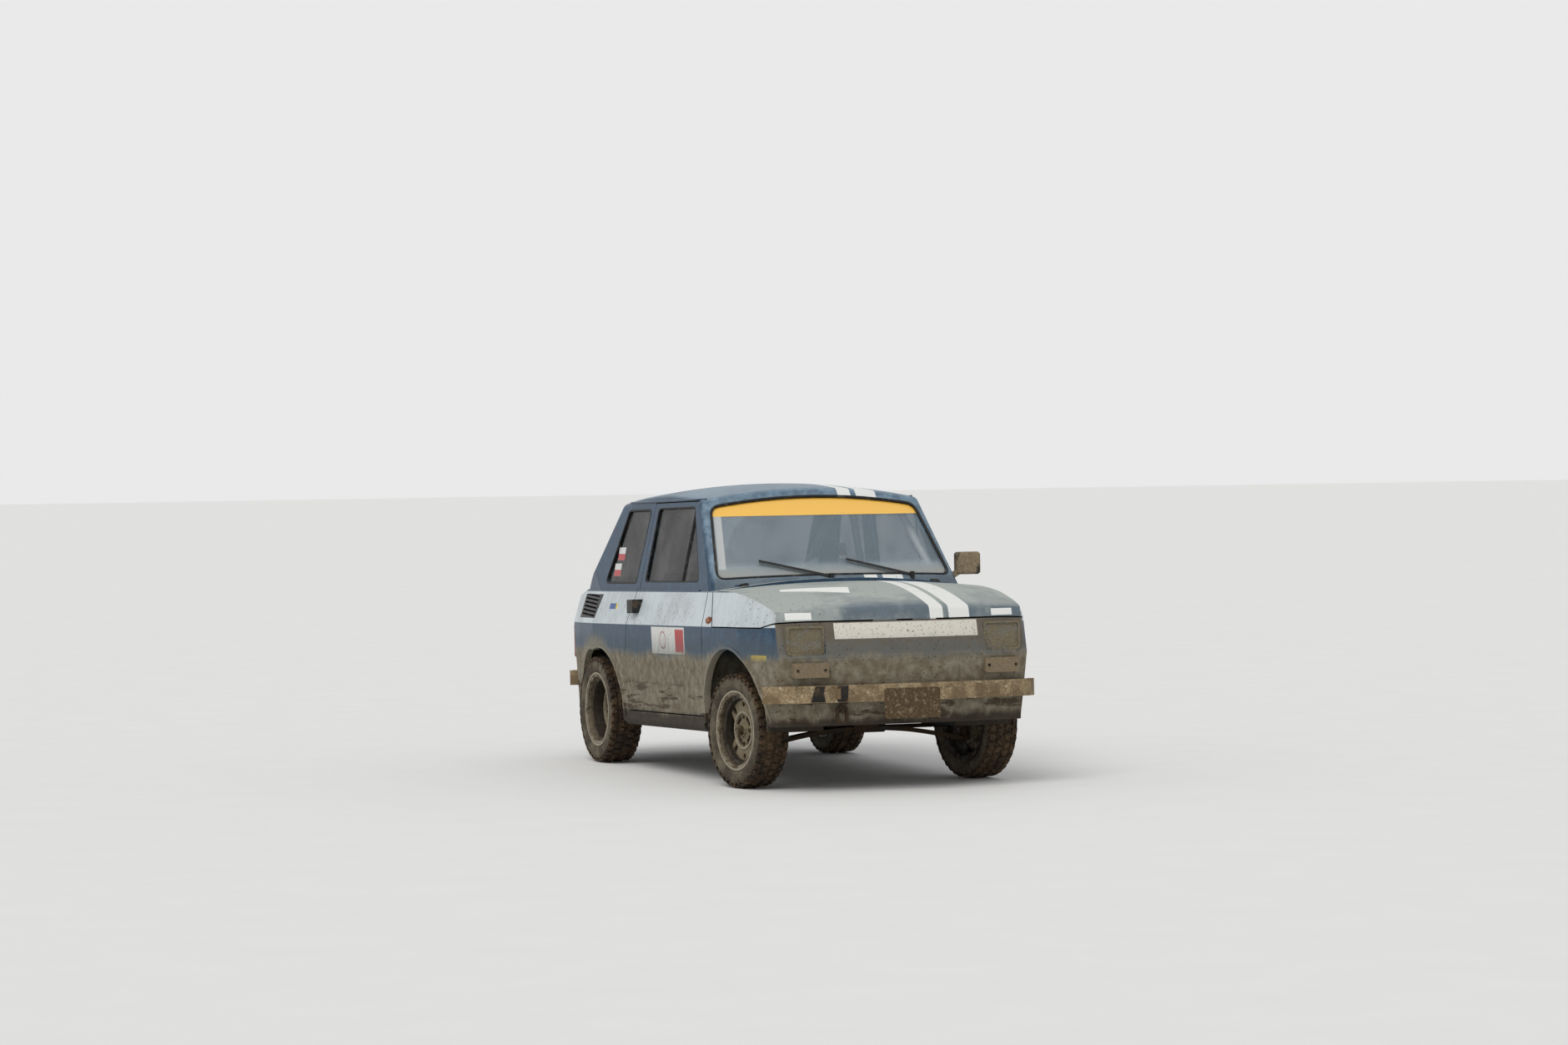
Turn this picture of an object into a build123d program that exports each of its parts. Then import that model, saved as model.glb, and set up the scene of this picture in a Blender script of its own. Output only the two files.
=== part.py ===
from build123d import *
from math import cos, hypot, radians, sin, sqrt
import os

# A small two-door saloon with its engine at the back, prepared for rallying.
# Millimetres. +X is the car's left, its nose points to -Y and +Z is up.
# The body is drawn level, with y = 0 above the front axle and z = 0 on the ground.
# The finished pieces are then tipped nose-up by RAKE, so that all four tyres stand on z = 0,
# and moved so that the origin is on the ground midway between the axles.

os.makedirs("parts", exist_ok=True)

# Stance and wheels
RAKE = 1.4
WHEELBASE = 1840
TYRE_R = 264
FRONT_TRACK = 1142
REAR_TRACK = 1203
REST_STEER = 7.5

# Body walls, gaps and levels
WALL = 28
SHUT_GAP = 6
FOOT_Z = 290
LOW_CREASE_Z = 600
CREASE_Z = 737
BELT_Z = 893
BODY_TOP_Z = 1010
RAIL_Z = 1322

# Side stations of the lower body, from nose to tail. Columns: place along the car, half-width at
# the foot, at the lower crease, at the crease and at the belt, and the height of the crease.
STATIONS = [
    (-680, 545, 572, 566, 524, 764),
    (-500, 588, 615, 609, 566, 762),
    (-380, 612, 641, 640, 590, 738),
    (-180, 636, 668, 673, 616, 737),
    (220, 662, 682, 685, 634, 737),
    (1300, 668, 687, 692, 640, 737),
    (1850, 660, 682, 685, 636, 737),
    (2170, 628, 644, 645, 598, 737),
    (2520, 570, 582, 582, 540, 737),
]

# Nose and tail: plan arcs through a middle and a corner, and how far the face leans back
NOSE_MID_Y = -572
NOSE_CORNER = (618, -516)
NOSE_LEAN_UP = 0.24
NOSE_LEAN_DOWN = 0.20
NOSE_CORNER_R = 60
TAIL_MID_Y = 2425
TAIL_CORNER = (609, 2392)
TAIL_LEAN_UP = 0.35
TAIL_LEAN_DOWN = 0.13
TAIL_CORNER_R = 110

# Bonnet and scuttle: crowned across and arched along
BONNET_TOP = (145, 932)
BONNET_ARCH_R = 2000
BONNET_CROWN_R = 6000
SCUTTLE_Y = (186, 430)
SCUTTLE_CROWN = ((625, 898), 948)
DECK = [(430, 905), (2150, 903), (2330, 872), (2520, 820)]

# Greenhouse: side glass lean, roof arch and crown, and the two sloping ends
GREEN_HALF_BELT = 628
GREEN_HALF_RAIL = 556
ROOF_TOP = (1150, 1407)
ROOF_ARCH_R = 5000
ROOF_CROWN_R = 2790
SCREEN_BASE_Z = 948
SCREEN_BASE_MID_Y = 237
SCREEN_ARC_R = 2865
SCREEN_SLOPE = 0.805
REAR_BASE_Z = 903
REAR_BASE_MID_Y = 2190
REAR_ARC_R = 3400
REAR_SLOPE = -1.037

FAR = 760

# Pressed sheet turns its corners on a radius: roof rails and pillars, and the bonnet's nose
ROOF_EDGE_R = 38
NOSE_EDGE_R = 28

FRONT_HUB_Y = -TYRE_R * sin(radians(RAKE))
FRONT_HUB_Z = TYRE_R * cos(radians(RAKE))
REAR_HUB_Y = FRONT_HUB_Y + WHEELBASE * cos(radians(RAKE))
REAR_HUB_Z = FRONT_HUB_Z + WHEELBASE * sin(radians(RAKE))

STANCE = Location((0, -WHEELBASE / 2, 0)) * Location((0, 0, 0), (-RAKE, 0, 0))


def finish(piece, label):
    """Tip a finished piece to the car's stance, name it and write it."""
    piece.move(STANCE)
    piece.label = label
    export_step(piece, f"parts/{label}.step")


def side_prism(outline, x_low, x_high, corner=0, grow=0):
    """A prism across the car with a side-view outline of (y, z) points."""
    with BuildPart() as prism:
        with BuildSketch(Plane.YZ.offset(x_low)) as view:
            with BuildLine():
                Polyline(*outline, close=True)
            make_face()
            if grow:
                offset(amount=grow, kind=Kind.INTERSECTION, mode=Mode.REPLACE)
            if corner:
                fillet(view.vertices(), corner + grow)
        extrude(amount=x_high - x_low)
    return prism.part


def front_prism(outline, y_low, y_high, corner=0, grow=0):
    """A prism along the car with a front-view outline of (x, z) points."""
    with BuildPart() as prism:
        with BuildSketch(Plane.XZ.offset(-y_low)) as view:
            with BuildLine():
                Polyline(*outline, close=True)
            make_face()
            if grow:
                offset(amount=grow, kind=Kind.INTERSECTION, mode=Mode.REPLACE)
            if corner:
                fillet(view.vertices(), corner + grow)
        extrude(amount=y_low - y_high)
    return prism.part


def plan_prism(outline, z_low, z_high, corner=0):
    """An upright prism with a plan outline of (x, y) points."""
    with BuildPart() as prism:
        with BuildSketch(Plane.XY.offset(z_low)) as view:
            with BuildLine():
                Polyline(*outline, close=True)
            make_face()
            if corner:
                fillet(view.vertices(), corner)
        extrude(amount=z_high - z_low)
    return prism.part


def box(x, y, z):
    """A plain box from its (low, high) pairs."""
    with BuildPart() as block:
        with Locations(((x[0] + x[1]) / 2, (y[0] + y[1]) / 2, (z[0] + z[1]) / 2)):
            Box(x[1] - x[0], y[1] - y[0], z[1] - z[0])
    return block.part


def side_form(inset):
    """The lower body's sides: flat strips between the stations."""
    foot = FOOT_Z if inset == 0 else FOOT_Z - 2 * WALL
    with BuildPart() as form:
        for y, foot_w, low_w, crease_w, belt_w, crease_z in STATIONS:
            lean = (crease_w - belt_w) / (BELT_Z - crease_z)
            top_w = crease_w - lean * (BODY_TOP_Z - crease_z)
            right = [(foot_w, foot), (low_w, LOW_CREASE_Z), (crease_w, crease_z), (top_w, BODY_TOP_Z)]
            right = [(x - inset, z) for x, z in right]
            left = [(-x, z) for x, z in reversed(right)]
            with BuildSketch(Plane.XZ.offset(-y)):
                with BuildLine():
                    Polyline(*right, *left, close=True)
                make_face()
        loft(ruled=True)
    return form.part


def leaning_end(mid_y, corner, corner_r, base_z, lean_up, lean_down, inset):
    """The space behind a curved end panel, as two prisms that lean away from the base level."""
    out = -1 if mid_y < 0 else 1
    corner_x = corner[0] - inset
    corner_y = corner[1] - out * inset
    flank = (corner_x + 130, corner_y - out * 650)
    far_y = mid_y - out * 3400
    with BuildPart() as form:
        for z_far, lean in ((BODY_TOP_Z + 60, lean_up), (FOOT_Z - 3 * WALL, lean_down)):
            with BuildSketch(Plane.XY.offset(base_z)) as plan:
                with BuildLine():
                    ThreePointArc((-corner_x, corner_y), (0, mid_y - out * inset), (corner_x, corner_y))
                    Polyline((corner_x, corner_y), flank, (FAR, far_y), (-FAR, far_y),
                             (-flank[0], flank[1]), (-corner_x, corner_y))
                make_face()
                fillet([v for v in plan.vertices() if abs(abs(v.X) - corner_x) < 1], corner_r)
            rise = z_far - base_z
            extrude(amount=hypot(rise, lean * rise), dir=(0, -out * lean * abs(rise), rise))
    return form.part


def crowned_top(top, arch_r, crown_r, drop, inset):
    """The space under a panel that is crowned across the car and arched along it."""
    top_y, top_z = top
    crown = FAR * FAR / (2 * crown_r)
    with BuildPart() as form:
        with BuildSketch(Plane.XZ.offset(-top_y)):
            with BuildLine():
                ThreePointArc((-FAR, top_z - inset - crown), (0, top_z - inset), (FAR, top_z - inset - crown))
                Polyline((FAR, top_z - inset - crown), (FAR, top_z - drop), (-FAR, top_z - drop),
                         (-FAR, top_z - inset - crown))
            make_face()
        revolve(axis=Axis((0, top_y, top_z - arch_r), (1, 0, 0)))
    return form.part


def sloping_end(mid_y, base_z, arc_r, slope, low_z, high_z, inset):
    """The space behind a curved, sloping window plane: one sheared prism."""
    out = -1 if slope > 0 else 1
    sag = arc_r - sqrt(arc_r ** 2 - FAR ** 2)
    shift = slope * (low_z - base_z)
    run = inset * sqrt(1 + slope ** 2)
    mid = mid_y + shift - out * run
    edge = mid - out * sag
    far = mid - out * 3400
    rise = high_z - low_z
    with BuildPart() as form:
        with BuildSketch(Plane.XY.offset(low_z)):
            with BuildLine():
                ThreePointArc((-FAR, edge), (0, mid), (FAR, edge))
                Polyline((FAR, edge), (FAR, far), (-FAR, far), (-FAR, edge))
            make_face()
        extrude(amount=rise * sqrt(1 + slope ** 2), dir=(0, slope, 1))
    return form.part


def lower_form(inset):
    """The closed volume of the body below its belt, with every face moved in by the inset."""
    bonnet = crowned_top(BONNET_TOP, BONNET_ARCH_R, BONNET_CROWN_R, 900, inset)
    (crown_x, crown_low), crown_z = SCUTTLE_CROWN
    with BuildPart() as top:
        add(bonnet)
        add(box((-FAR, FAR), (-900, SCUTTLE_Y[0]), (0, 1100)), mode=Mode.INTERSECT)
        with BuildSketch(Plane.XZ.offset(-SCUTTLE_Y[0])):
            with BuildLine():
                ThreePointArc((-crown_x, crown_low - inset), (0, crown_z - inset), (crown_x, crown_low - inset))
                Polyline((crown_x, crown_low - inset), (FAR, crown_low - inset - 40), (FAR, 60), (-FAR, 60),
                         (-FAR, crown_low - inset - 40), (-crown_x, crown_low - inset))
            make_face()
        extrude(amount=SCUTTLE_Y[0] - SCUTTLE_Y[1])
        deck = [(y, z - inset) for y, z in DECK]
        add(side_prism([*deck, (DECK[-1][0], 60), (DECK[0][0], 60)], -FAR, FAR))
    with BuildPart() as form:
        add(side_form(inset))
        add(leaning_end(NOSE_MID_Y, NOSE_CORNER, NOSE_CORNER_R, LOW_CREASE_Z, NOSE_LEAN_UP, NOSE_LEAN_DOWN,
                        inset), mode=Mode.INTERSECT)
        add(leaning_end(TAIL_MID_Y, TAIL_CORNER, TAIL_CORNER_R, CREASE_Z, TAIL_LEAN_UP, TAIL_LEAN_DOWN,
                        inset), mode=Mode.INTERSECT)
        add(top.part, mode=Mode.INTERSECT)
        brow = [e for e in form.edges() if e.bounding_box().max.Y < -430 and e.bounding_box().min.Z > 700]
        if inset < NOSE_EDGE_R:
            fillet(brow, NOSE_EDGE_R - inset)
    return form.part


def green_form(inset):
    """The closed volume of the greenhouse, which runs down into the lower body."""
    lean = (GREEN_HALF_BELT - GREEN_HALF_RAIL) / (1330 - BELT_Z)
    low_z = 800
    high_z = 1480
    low_x = GREEN_HALF_BELT + lean * (BELT_Z - low_z) - inset
    high_x = GREEN_HALF_BELT + lean * (BELT_Z - high_z) - inset
    waist = [(row[4] - 6 - inset, row[0]) for row in STATIONS if row[0] > 0]
    waist = [(waist[0][0], -200), *waist]
    with BuildPart() as form:
        add(front_prism([(-low_x, low_z), (low_x, low_z), (high_x, high_z), (-high_x, high_z)], 0, 2700))
        add(crowned_top(ROOF_TOP, ROOF_ARCH_R, ROOF_CROWN_R, 900, inset), mode=Mode.INTERSECT)
        add(sloping_end(SCREEN_BASE_MID_Y, SCREEN_BASE_Z, SCREEN_ARC_R, SCREEN_SLOPE, low_z - 20, high_z + 20,
                        inset), mode=Mode.INTERSECT)
        add(sloping_end(REAR_BASE_MID_Y, REAR_BASE_Z, REAR_ARC_R, REAR_SLOPE, low_z - 20, high_z + 20,
                        inset), mode=Mode.INTERSECT)
        rails = [e for e in form.edges() if e.bounding_box().max.Z > 1150]
        fillet(rails, ROOF_EDGE_R - inset)
        add(plan_prism([*waist, *[(-x, y) for x, y in reversed(waist)]], low_z - 20, high_z + 20),
            mode=Mode.INTERSECT)
    return form.part


# Panel outlines in side view, as (y, z)
DOOR = [(294, 322), (281, 600), (266, 737), (308, 893), (560, 1254), (628, 1318), (1208, 1318), (1284, 893),
        (1300, 830), (1312, 737), (1352, 560), (1344, 322)]
DOOR_WINDOW = [(462, 940), (652, 1294), (1160, 1294), (1226, 940)]
QUARTER_WINDOW = [(1354, 934), (1262, 1290), (1590, 1290), (1818, 934)]
BONNET_SIDE = [(-720, 764), (-500, 763), (-380, 738), (130, 738), (238, 897), (330, 1040), (-720, 1040)]
BONNET_HOLE_SIDE = [(-720, 757), (-500, 756), (-380, 732), (136, 732), (244, 893), (340, 1040), (-720, 1040)]
SIDE_FRAME = [(340, 200), (340, 732), (1000, 732), (1000, RAIL_Z), (2700, RAIL_Z), (2700, 200)]
LOUVRE_PANEL = [(1785, 880), (1835, 762), (2185, 762), (2160, 880)]
# Wheel openings as arcs of (start, middle, end)
FRONT_ARCH = [((-420, 230), (-396, 345), (-337, 440)), ((-337, 440), (-210, 582), (-30, 637)),
              ((-30, 637), (180, 560), (270, 420)), ((270, 420), (274, 330), (274, 230))]
REAR_ARCH = [((1418, 230), (1432, 370), (1480, 462)), ((1480, 462), (1600, 575), (1850, 604)),
             ((1850, 604), (2030, 565), (2125, 430)), ((2125, 430), (2150, 340), (2152, 230))]
LIP_W = 15
LIP_OUT = 4
# Window openings in front view, as the bottom corner and middle and the top corner and middle
SCREEN_OPENING = ((588, 950), 962, (519, 1290), 1334)
REAR_OPENING = ((548, 952), 956, (486, 1306), 1318)

# Bonnet's rear edge in plan, and how far down the body its clamshell sides reach
BONNET_REAR_MID_Y = 178
BONNET_REAR_SIDE_Y = 312
BONNET_CORNER_Y = 238

# Panels at the two ends
NOSE_PANEL_HALF = 576
WING_REAR_Y = 340
TAIL_SEAM_Y = 2290
TAIL_DECK_HALF = 470
TAIL_DECK_Y = 2050
TAIL_TOP_Z = 946
LID_HALF = 430
LID_FRONT_Y = 2236
LID_FOOT_Z = 540
SIDE_X = (520, 800)
GLASS_INSET = 10
GLASS_T = 5

# Lamps, as centre and size in front view
HEADLAMP = ((480, 676), (180, 130))
HEADLAMP_Y = (-528, -455)
INDICATOR = ((466, 543), (167, 66))
INDICATOR_Y = -559
TAIL_LAMP = ((532, 640), (110, 170))


def arch_prism(arcs, x_low, x_high, grow=0):
    """The wheel opening, closed along its foot."""
    with BuildPart() as prism:
        with BuildSketch(Plane.YZ.offset(x_low)):
            with BuildLine():
                for start, middle, end in arcs:
                    ThreePointArc(start, middle, end)
                Line(arcs[-1][2], arcs[0][0])
            make_face()
            if grow:
                offset(amount=grow, kind=Kind.INTERSECTION, mode=Mode.REPLACE)
        extrude(amount=x_high - x_low)
    return prism.part


def window_prism(opening, y_low, y_high, corner):
    """A window opening seen from the front: bowed sill and header, straight sloping sides."""
    (foot_x, foot_z), foot_mid, (head_x, head_z), head_mid = opening
    with BuildPart() as prism:
        with BuildSketch(Plane.XZ.offset(-y_low)) as view:
            with BuildLine():
                ThreePointArc((-foot_x, foot_z), (0, foot_mid), (foot_x, foot_z))
                Line((foot_x, foot_z), (head_x, head_z))
                ThreePointArc((head_x, head_z), (0, head_mid), (-head_x, head_z))
                Line((-head_x, head_z), (-foot_x, foot_z))
            make_face()
            fillet(view.vertices(), corner)
        extrude(amount=y_low - y_high)
    return prism.part


def both_sides(maker, *args, **keys):
    """One cutting shape on the car's left and one on its right."""
    (low, high) = SIDE_X
    return maker(*args, low, high, **keys) + maker(*args, -high, -low, **keys)


def ahead_of_arc(mid_y, side_y, z_low, z_high):
    """The space ahead of the bonnet's bowed rear edge."""
    with BuildPart() as prism:
        with BuildSketch(Plane.XY.offset(z_low)):
            with BuildLine():
                ThreePointArc((-650, side_y), (0, mid_y), (650, side_y))
                Polyline((650, side_y), (650, -FAR), (-650, -FAR), (-650, side_y))
            make_face()
        extrude(amount=z_high - z_low)
    return prism.part


def bonnet_space(side_view, gap):
    """The clamshell's space, between its crease line and its rear edge."""
    top = side_view[-1][1]
    plan = ahead_of_arc(BONNET_REAR_MID_Y + gap, BONNET_REAR_SIDE_Y + gap, 700, top)
    plan += box((-FAR, FAR), (-FAR, BONNET_CORNER_Y + gap), (700, 880))
    return side_prism(side_view, -FAR, FAR) & plan


def rectangle_prism(centre, size, y_low, y_high, corner):
    """A rounded rectangle in front view, run along the car."""
    with BuildPart() as prism:
        with BuildSketch(Plane.XZ.offset(-y_low)):
            with Locations(centre):
                RectangleRounded(*size, corner)
        extrude(amount=y_low - y_high)
    return prism.part


lower_body = lower_form(0)
greenhouse = green_form(0)
lower_inside = lower_form(WALL)
outer_form = lower_body + greenhouse
inner_form = lower_inside + green_form(WALL)
shell = outer_form - inner_form
glass_layer = green_form(GLASS_INSET) - green_form(GLASS_INSET + GLASS_T)

bonnet_zone = bonnet_space(BONNET_SIDE, 0)
bonnet_hole = bonnet_space(BONNET_HOLE_SIDE, SHUT_GAP)
door_hole = both_sides(side_prism, DOOR, corner=12, grow=SHUT_GAP)
door_window = both_sides(side_prism, DOOR_WINDOW, corner=22)
quarter_window = both_sides(side_prism, QUARTER_WINDOW, corner=26)
screen_window = window_prism(SCREEN_OPENING, 100, 800, 40)
rear_window_cut = window_prism(REAR_OPENING, 1700, 2300, 40)
arches = both_sides(arch_prism, FRONT_ARCH) + both_sides(arch_prism, REAR_ARCH)
lip_zone = both_sides(arch_prism, FRONT_ARCH, grow=LIP_W) + both_sides(arch_prism, REAR_ARCH, grow=LIP_W)
lip_zone = lip_zone & box((-800, 800), (-700, 2600), (FOOT_Z, BODY_TOP_Z))
lips = (lower_form(-LIP_OUT) - lower_inside) & (lip_zone - arches)
tail_zone = box((-TAIL_DECK_HALF, TAIL_DECK_HALF), (TAIL_DECK_Y, 2600), (0, TAIL_TOP_Z))
tail_zone += box((-800, 800), (TAIL_SEAM_Y, 2600), (0, TAIL_TOP_Z))
louvre_cut = both_sides(side_prism, LOUVRE_PANEL)
lid_zone = box((-LID_HALF, LID_HALF), (LID_FRONT_Y, 2600), (LID_FOOT_Z, 960))
lid_hole = box((-LID_HALF - SHUT_GAP, LID_HALF + SHUT_GAP), (LID_FRONT_Y - SHUT_GAP, 2600),
               (LID_FOOT_Z - SHUT_GAP, 960))

# Outer panels: each is the shell inside its own zone
nose_zone = box((-NOSE_PANEL_HALF, NOSE_PANEL_HALF), (-700, -440), (0, 900)) - bonnet_hole
for side in (-1, 1):
    (lamp_x, lamp_z), size = HEADLAMP
    nose_zone -= rectangle_prism((side * lamp_x, lamp_z), size, -700, -300, 16)
screen_zone = box((-800, 800), (100, 700), (732, RAIL_Z)) - bonnet_hole - door_hole - screen_window
roof_zone = box((-800, 800), (100, 2600), (RAIL_Z, 1500)) - door_hole - screen_window

with BuildPart() as bonnet:
    add(shell)
    add(bonnet_zone, mode=Mode.INTERSECT)

with BuildPart() as nose_panel:
    add(shell)
    add(nose_zone, mode=Mode.INTERSECT)

with BuildPart() as windscreen_frame:
    add(shell)
    add(screen_zone, mode=Mode.INTERSECT)

with BuildPart() as roof_panel:
    add(shell)
    add(roof_zone, mode=Mode.INTERSECT)

with BuildPart() as tail_panel:
    add(shell)
    add(tail_zone - lid_hole, mode=Mode.INTERSECT)

with BuildPart() as engine_lid:
    add(shell)
    add(lid_zone, mode=Mode.INTERSECT)

wings = {}
side_frames = {}
doors = {}
for side, name in ((1, "left"), (-1, "right")):
    low, high = sorted((side * NOSE_PANEL_HALF, side * 800))
    wing_zone = side_prism([(-700, 0), (-700, 800), (-380, 732), (WING_REAR_Y, 732), (WING_REAR_Y, 0)], low, high)
    wing_zone = wing_zone - bonnet_hole - door_hole
    low, high = sorted((0, side * 800))
    frame_zone = side_prism(SIDE_FRAME, low, high) - door_hole - quarter_window
    frame_zone = frame_zone - louvre_cut - rear_window_cut - tail_zone
    low, high = sorted((side * SIDE_X[0], side * SIDE_X[1]))
    door_zone = side_prism(DOOR, low, high, corner=12) - door_window
    with BuildPart() as wing:
        add(shell)
        add(wing_zone - arches, mode=Mode.INTERSECT)
        add(lips & wing_zone)
    wings[name] = wing
    with BuildPart() as frame:
        add(shell)
        add(frame_zone - arches, mode=Mode.INTERSECT)
        add(lips & frame_zone)
    side_frames[name] = frame
    with BuildPart() as door:
        add(shell)
        add(door_zone, mode=Mode.INTERSECT)
    doors[name] = door

# Louvres in the engine lid: two banks of slots that slope down through its wall
LID_SLOT_X = (70, 230)
LID_SLOT_Z = 620
LID_SLOT_H = 9
LID_SLOT_PITCH = 27
with BuildPart() as lid_slots:
    for side in (-1, 1):
        low, high = sorted((side * LID_SLOT_X[0], side * LID_SLOT_X[1]))
        for k in range(7):
            z = LID_SLOT_Z + k * LID_SLOT_PITCH
            slot = [(2200, z + 24), (2200, z + 24 + LID_SLOT_H), (2520, z - 8 + LID_SLOT_H), (2520, z - 8)]
            add(side_prism(slot, low, high))
engine_lid.part -= lid_slots.part

# Hinges in the shut gaps: round knuckles on short necks, with the pin in the fixed pair
KNUCKLE_GAP = 0.3
HINGE_PIN_GAP = 0.06
BONNET_HINGE = {"at": (-530.5, 760.1), "r": 2.7, "pin": 1.4, "x": (40, 76, 116, 152), "neck": (-532, -524),
                "low": 753, "high": 767}
LID_HINGE = {"at": (2233, 886), "r": 2.5, "pin": 1.2, "x": (150, 186, 226, 262), "neck": (2227, 2239),
             "low": 882, "high": 886}
DOOR_HINGE = {"at": (684, 270), "r": 2.4, "pin": 1.2, "z": (655, 668, 682), "neck": 7, "skin": 2.5}


def rod_x(at, radius, x_low, x_high):
    """A round rod across the car, at a (y, z) place."""
    with BuildPart() as rod:
        with BuildSketch(Plane.YZ.offset(x_low)):
            with Locations(at):
                Circle(radius)
        extrude(amount=x_high - x_low)
    return rod.part


def rod_z(at, radius, z_low, z_high):
    """An upright round rod, at an (x, y) place."""
    with BuildPart() as rod:
        with BuildSketch(Plane.XY.offset(z_low)):
            with Locations(at):
                Circle(radius)
        extrude(amount=z_high - z_low)
    return rod.part


def cross_hinge(spec, fixed_neck, moving_neck):
    """The fixed and the moving knuckles of a hinge pair that lies across the car."""
    a, b, c, d = spec["x"]
    fixed = Part()
    moving = Part()
    for side in (-1, 1):
        for low, high in ((a, b), (c, d)):
            x = sorted((side * low, side * high))
            fixed += rod_x(spec["at"], spec["r"], *x) + box(x, *fixed_neck)
        x = sorted((side * a, side * d))
        fixed += rod_x(spec["at"], spec["pin"], *x)
        x = sorted((side * (b + KNUCKLE_GAP), side * (c - KNUCKLE_GAP)))
        moving += rod_x(spec["at"], spec["r"], *x) + box(x, *moving_neck)
        moving -= rod_x(spec["at"], spec["pin"] + HINGE_PIN_GAP, *x)
    return fixed, moving


y_pin, z_pin = BONNET_HINGE["at"]
fixed, moving = cross_hinge(BONNET_HINGE, (BONNET_HINGE["neck"], (BONNET_HINGE["low"], z_pin)),
                            (BONNET_HINGE["neck"], (z_pin, BONNET_HINGE["high"])))
nose_panel.part += fixed
bonnet.part += moving
y_pin, z_pin = LID_HINGE["at"]
levels = (LID_HINGE["low"], LID_HINGE["high"])
fixed, moving = cross_hinge(LID_HINGE, ((LID_HINGE["neck"][0], y_pin), levels),
                            ((y_pin, LID_HINGE["neck"][1]), levels))
tail_panel.part += fixed
engine_lid.part += moving
z_low, z_mid, z_high = DOOR_HINGE["z"]
for side, name in ((1, "left"), (-1, "right")):
    pin_x, pin_y = DOOR_HINGE["at"]
    at = (side * pin_x, pin_y)
    neck_x = sorted((side * pin_x, side * (pin_x - DOOR_HINGE["skin"])))
    door_z = (z_mid + KNUCKLE_GAP, z_high)
    wings[name].part -= rod_z(at, DOOR_HINGE["r"] + KNUCKLE_GAP, z_mid, z_high + KNUCKLE_GAP)
    wings[name].part += rod_z(at, DOOR_HINGE["r"], z_low, z_mid) + rod_z(at, DOOR_HINGE["pin"], z_low, z_high)
    wings[name].part += box(neck_x, (pin_y - DOOR_HINGE["neck"], pin_y), (z_low, z_mid))
    knuckle = rod_z(at, DOOR_HINGE["r"], *door_z) + box(neck_x, (pin_y, pin_y + DOOR_HINGE["neck"]), door_z)
    doors[name].part += knuckle
    doors[name].part -= rod_z(at, DOOR_HINGE["pin"] + HINGE_PIN_GAP, *door_z)

# Sills: a round tube under each door opening, part of the side frame
SILL_Y = (296, 1424)
SILL_X = 634
SILL_Z = 281
SILL_R = 35
sills = {}
for side, name in ((1, "left"), (-1, "right")):
    with BuildPart() as sill:
        with BuildSketch(Plane.XZ.offset(-SILL_Y[0])):
            with Locations((side * SILL_X, SILL_Z)):
                Circle(SILL_R)
        extrude(amount=SILL_Y[0] - SILL_Y[1])
    sills[name] = sill.part
    low_half = box((-800, 800), SILL_Y, (SILL_Z - 100, FOOT_Z + 25))
    side_frames[name].part += (sill.part & low_half) - shell

# Glass
with BuildPart() as windscreen:
    add(glass_layer)
    add(screen_window, mode=Mode.INTERSECT)

with BuildPart() as rear_window:
    add(glass_layer)
    add(rear_window_cut, mode=Mode.INTERSECT)

with BuildPart() as quarter_windows:
    add(glass_layer)
    add(quarter_window, mode=Mode.INTERSECT)

door_glasses = {}
for side, name in ((1, "left"), (-1, "right")):
    low, high = sorted((side * SIDE_X[0], side * SIDE_X[1]))
    with BuildPart() as door_glass:
        add(glass_layer)
        add(side_prism(DOOR_WINDOW, low, high, corner=22), mode=Mode.INTERSECT)
    door_glasses[name] = door_glass

# Lamps
LAMP_RIM = 9
with BuildPart() as headlamps:
    for side in (-1, 1):
        (lamp_x, lamp_z), size = HEADLAMP
        lens = (size[0] - 2 * LAMP_RIM, size[1] - 2 * LAMP_RIM)
        add(rectangle_prism((side * lamp_x, lamp_z), size, *HEADLAMP_Y, 16))
        add(rectangle_prism((side * lamp_x, lamp_z), lens, HEADLAMP_Y[0] - 5, HEADLAMP_Y[0] + 7, 12),
            mode=Mode.SUBTRACT)

with BuildPart() as front_indicators:
    for side in (-1, 1):
        (lamp_x, lamp_z), size = INDICATOR
        add(rectangle_prism((side * lamp_x, lamp_z), size, INDICATOR_Y, INDICATOR_Y + 60, 6))
    add(lower_body, mode=Mode.SUBTRACT)

with BuildPart() as tail_lamps:
    for side in (-1, 1):
        (lamp_x, lamp_z), size = TAIL_LAMP
        add(rectangle_prism((side * lamp_x, lamp_z), size, TAIL_MID_Y - 70, TAIL_MID_Y + 4, 10))
    add(lower_body, mode=Mode.SUBTRACT)

# Bumpers: bowed bars that clear the body, on two brackets each
FRONT_BUMPER = {"z": (397, 474), "depth": 34, "mid": -592, "turn": (560, -538), "via": (632, -510),
                "end": (667, -455), "inner": [(556, -506), (609, -488), (633, -455)]}
REAR_BUMPER = {"z": (415, 490), "depth": 34, "mid": 2462, "turn": (540, 2406), "via": (600, 2386),
               "end": (640, 2352), "inner": [(533, 2372), (584, 2355), (606, 2330)]}
BRACKET_X = 330
BRACKET_HALF = 22


def mirrored(point):
    return (-point[0], point[1])


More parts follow.
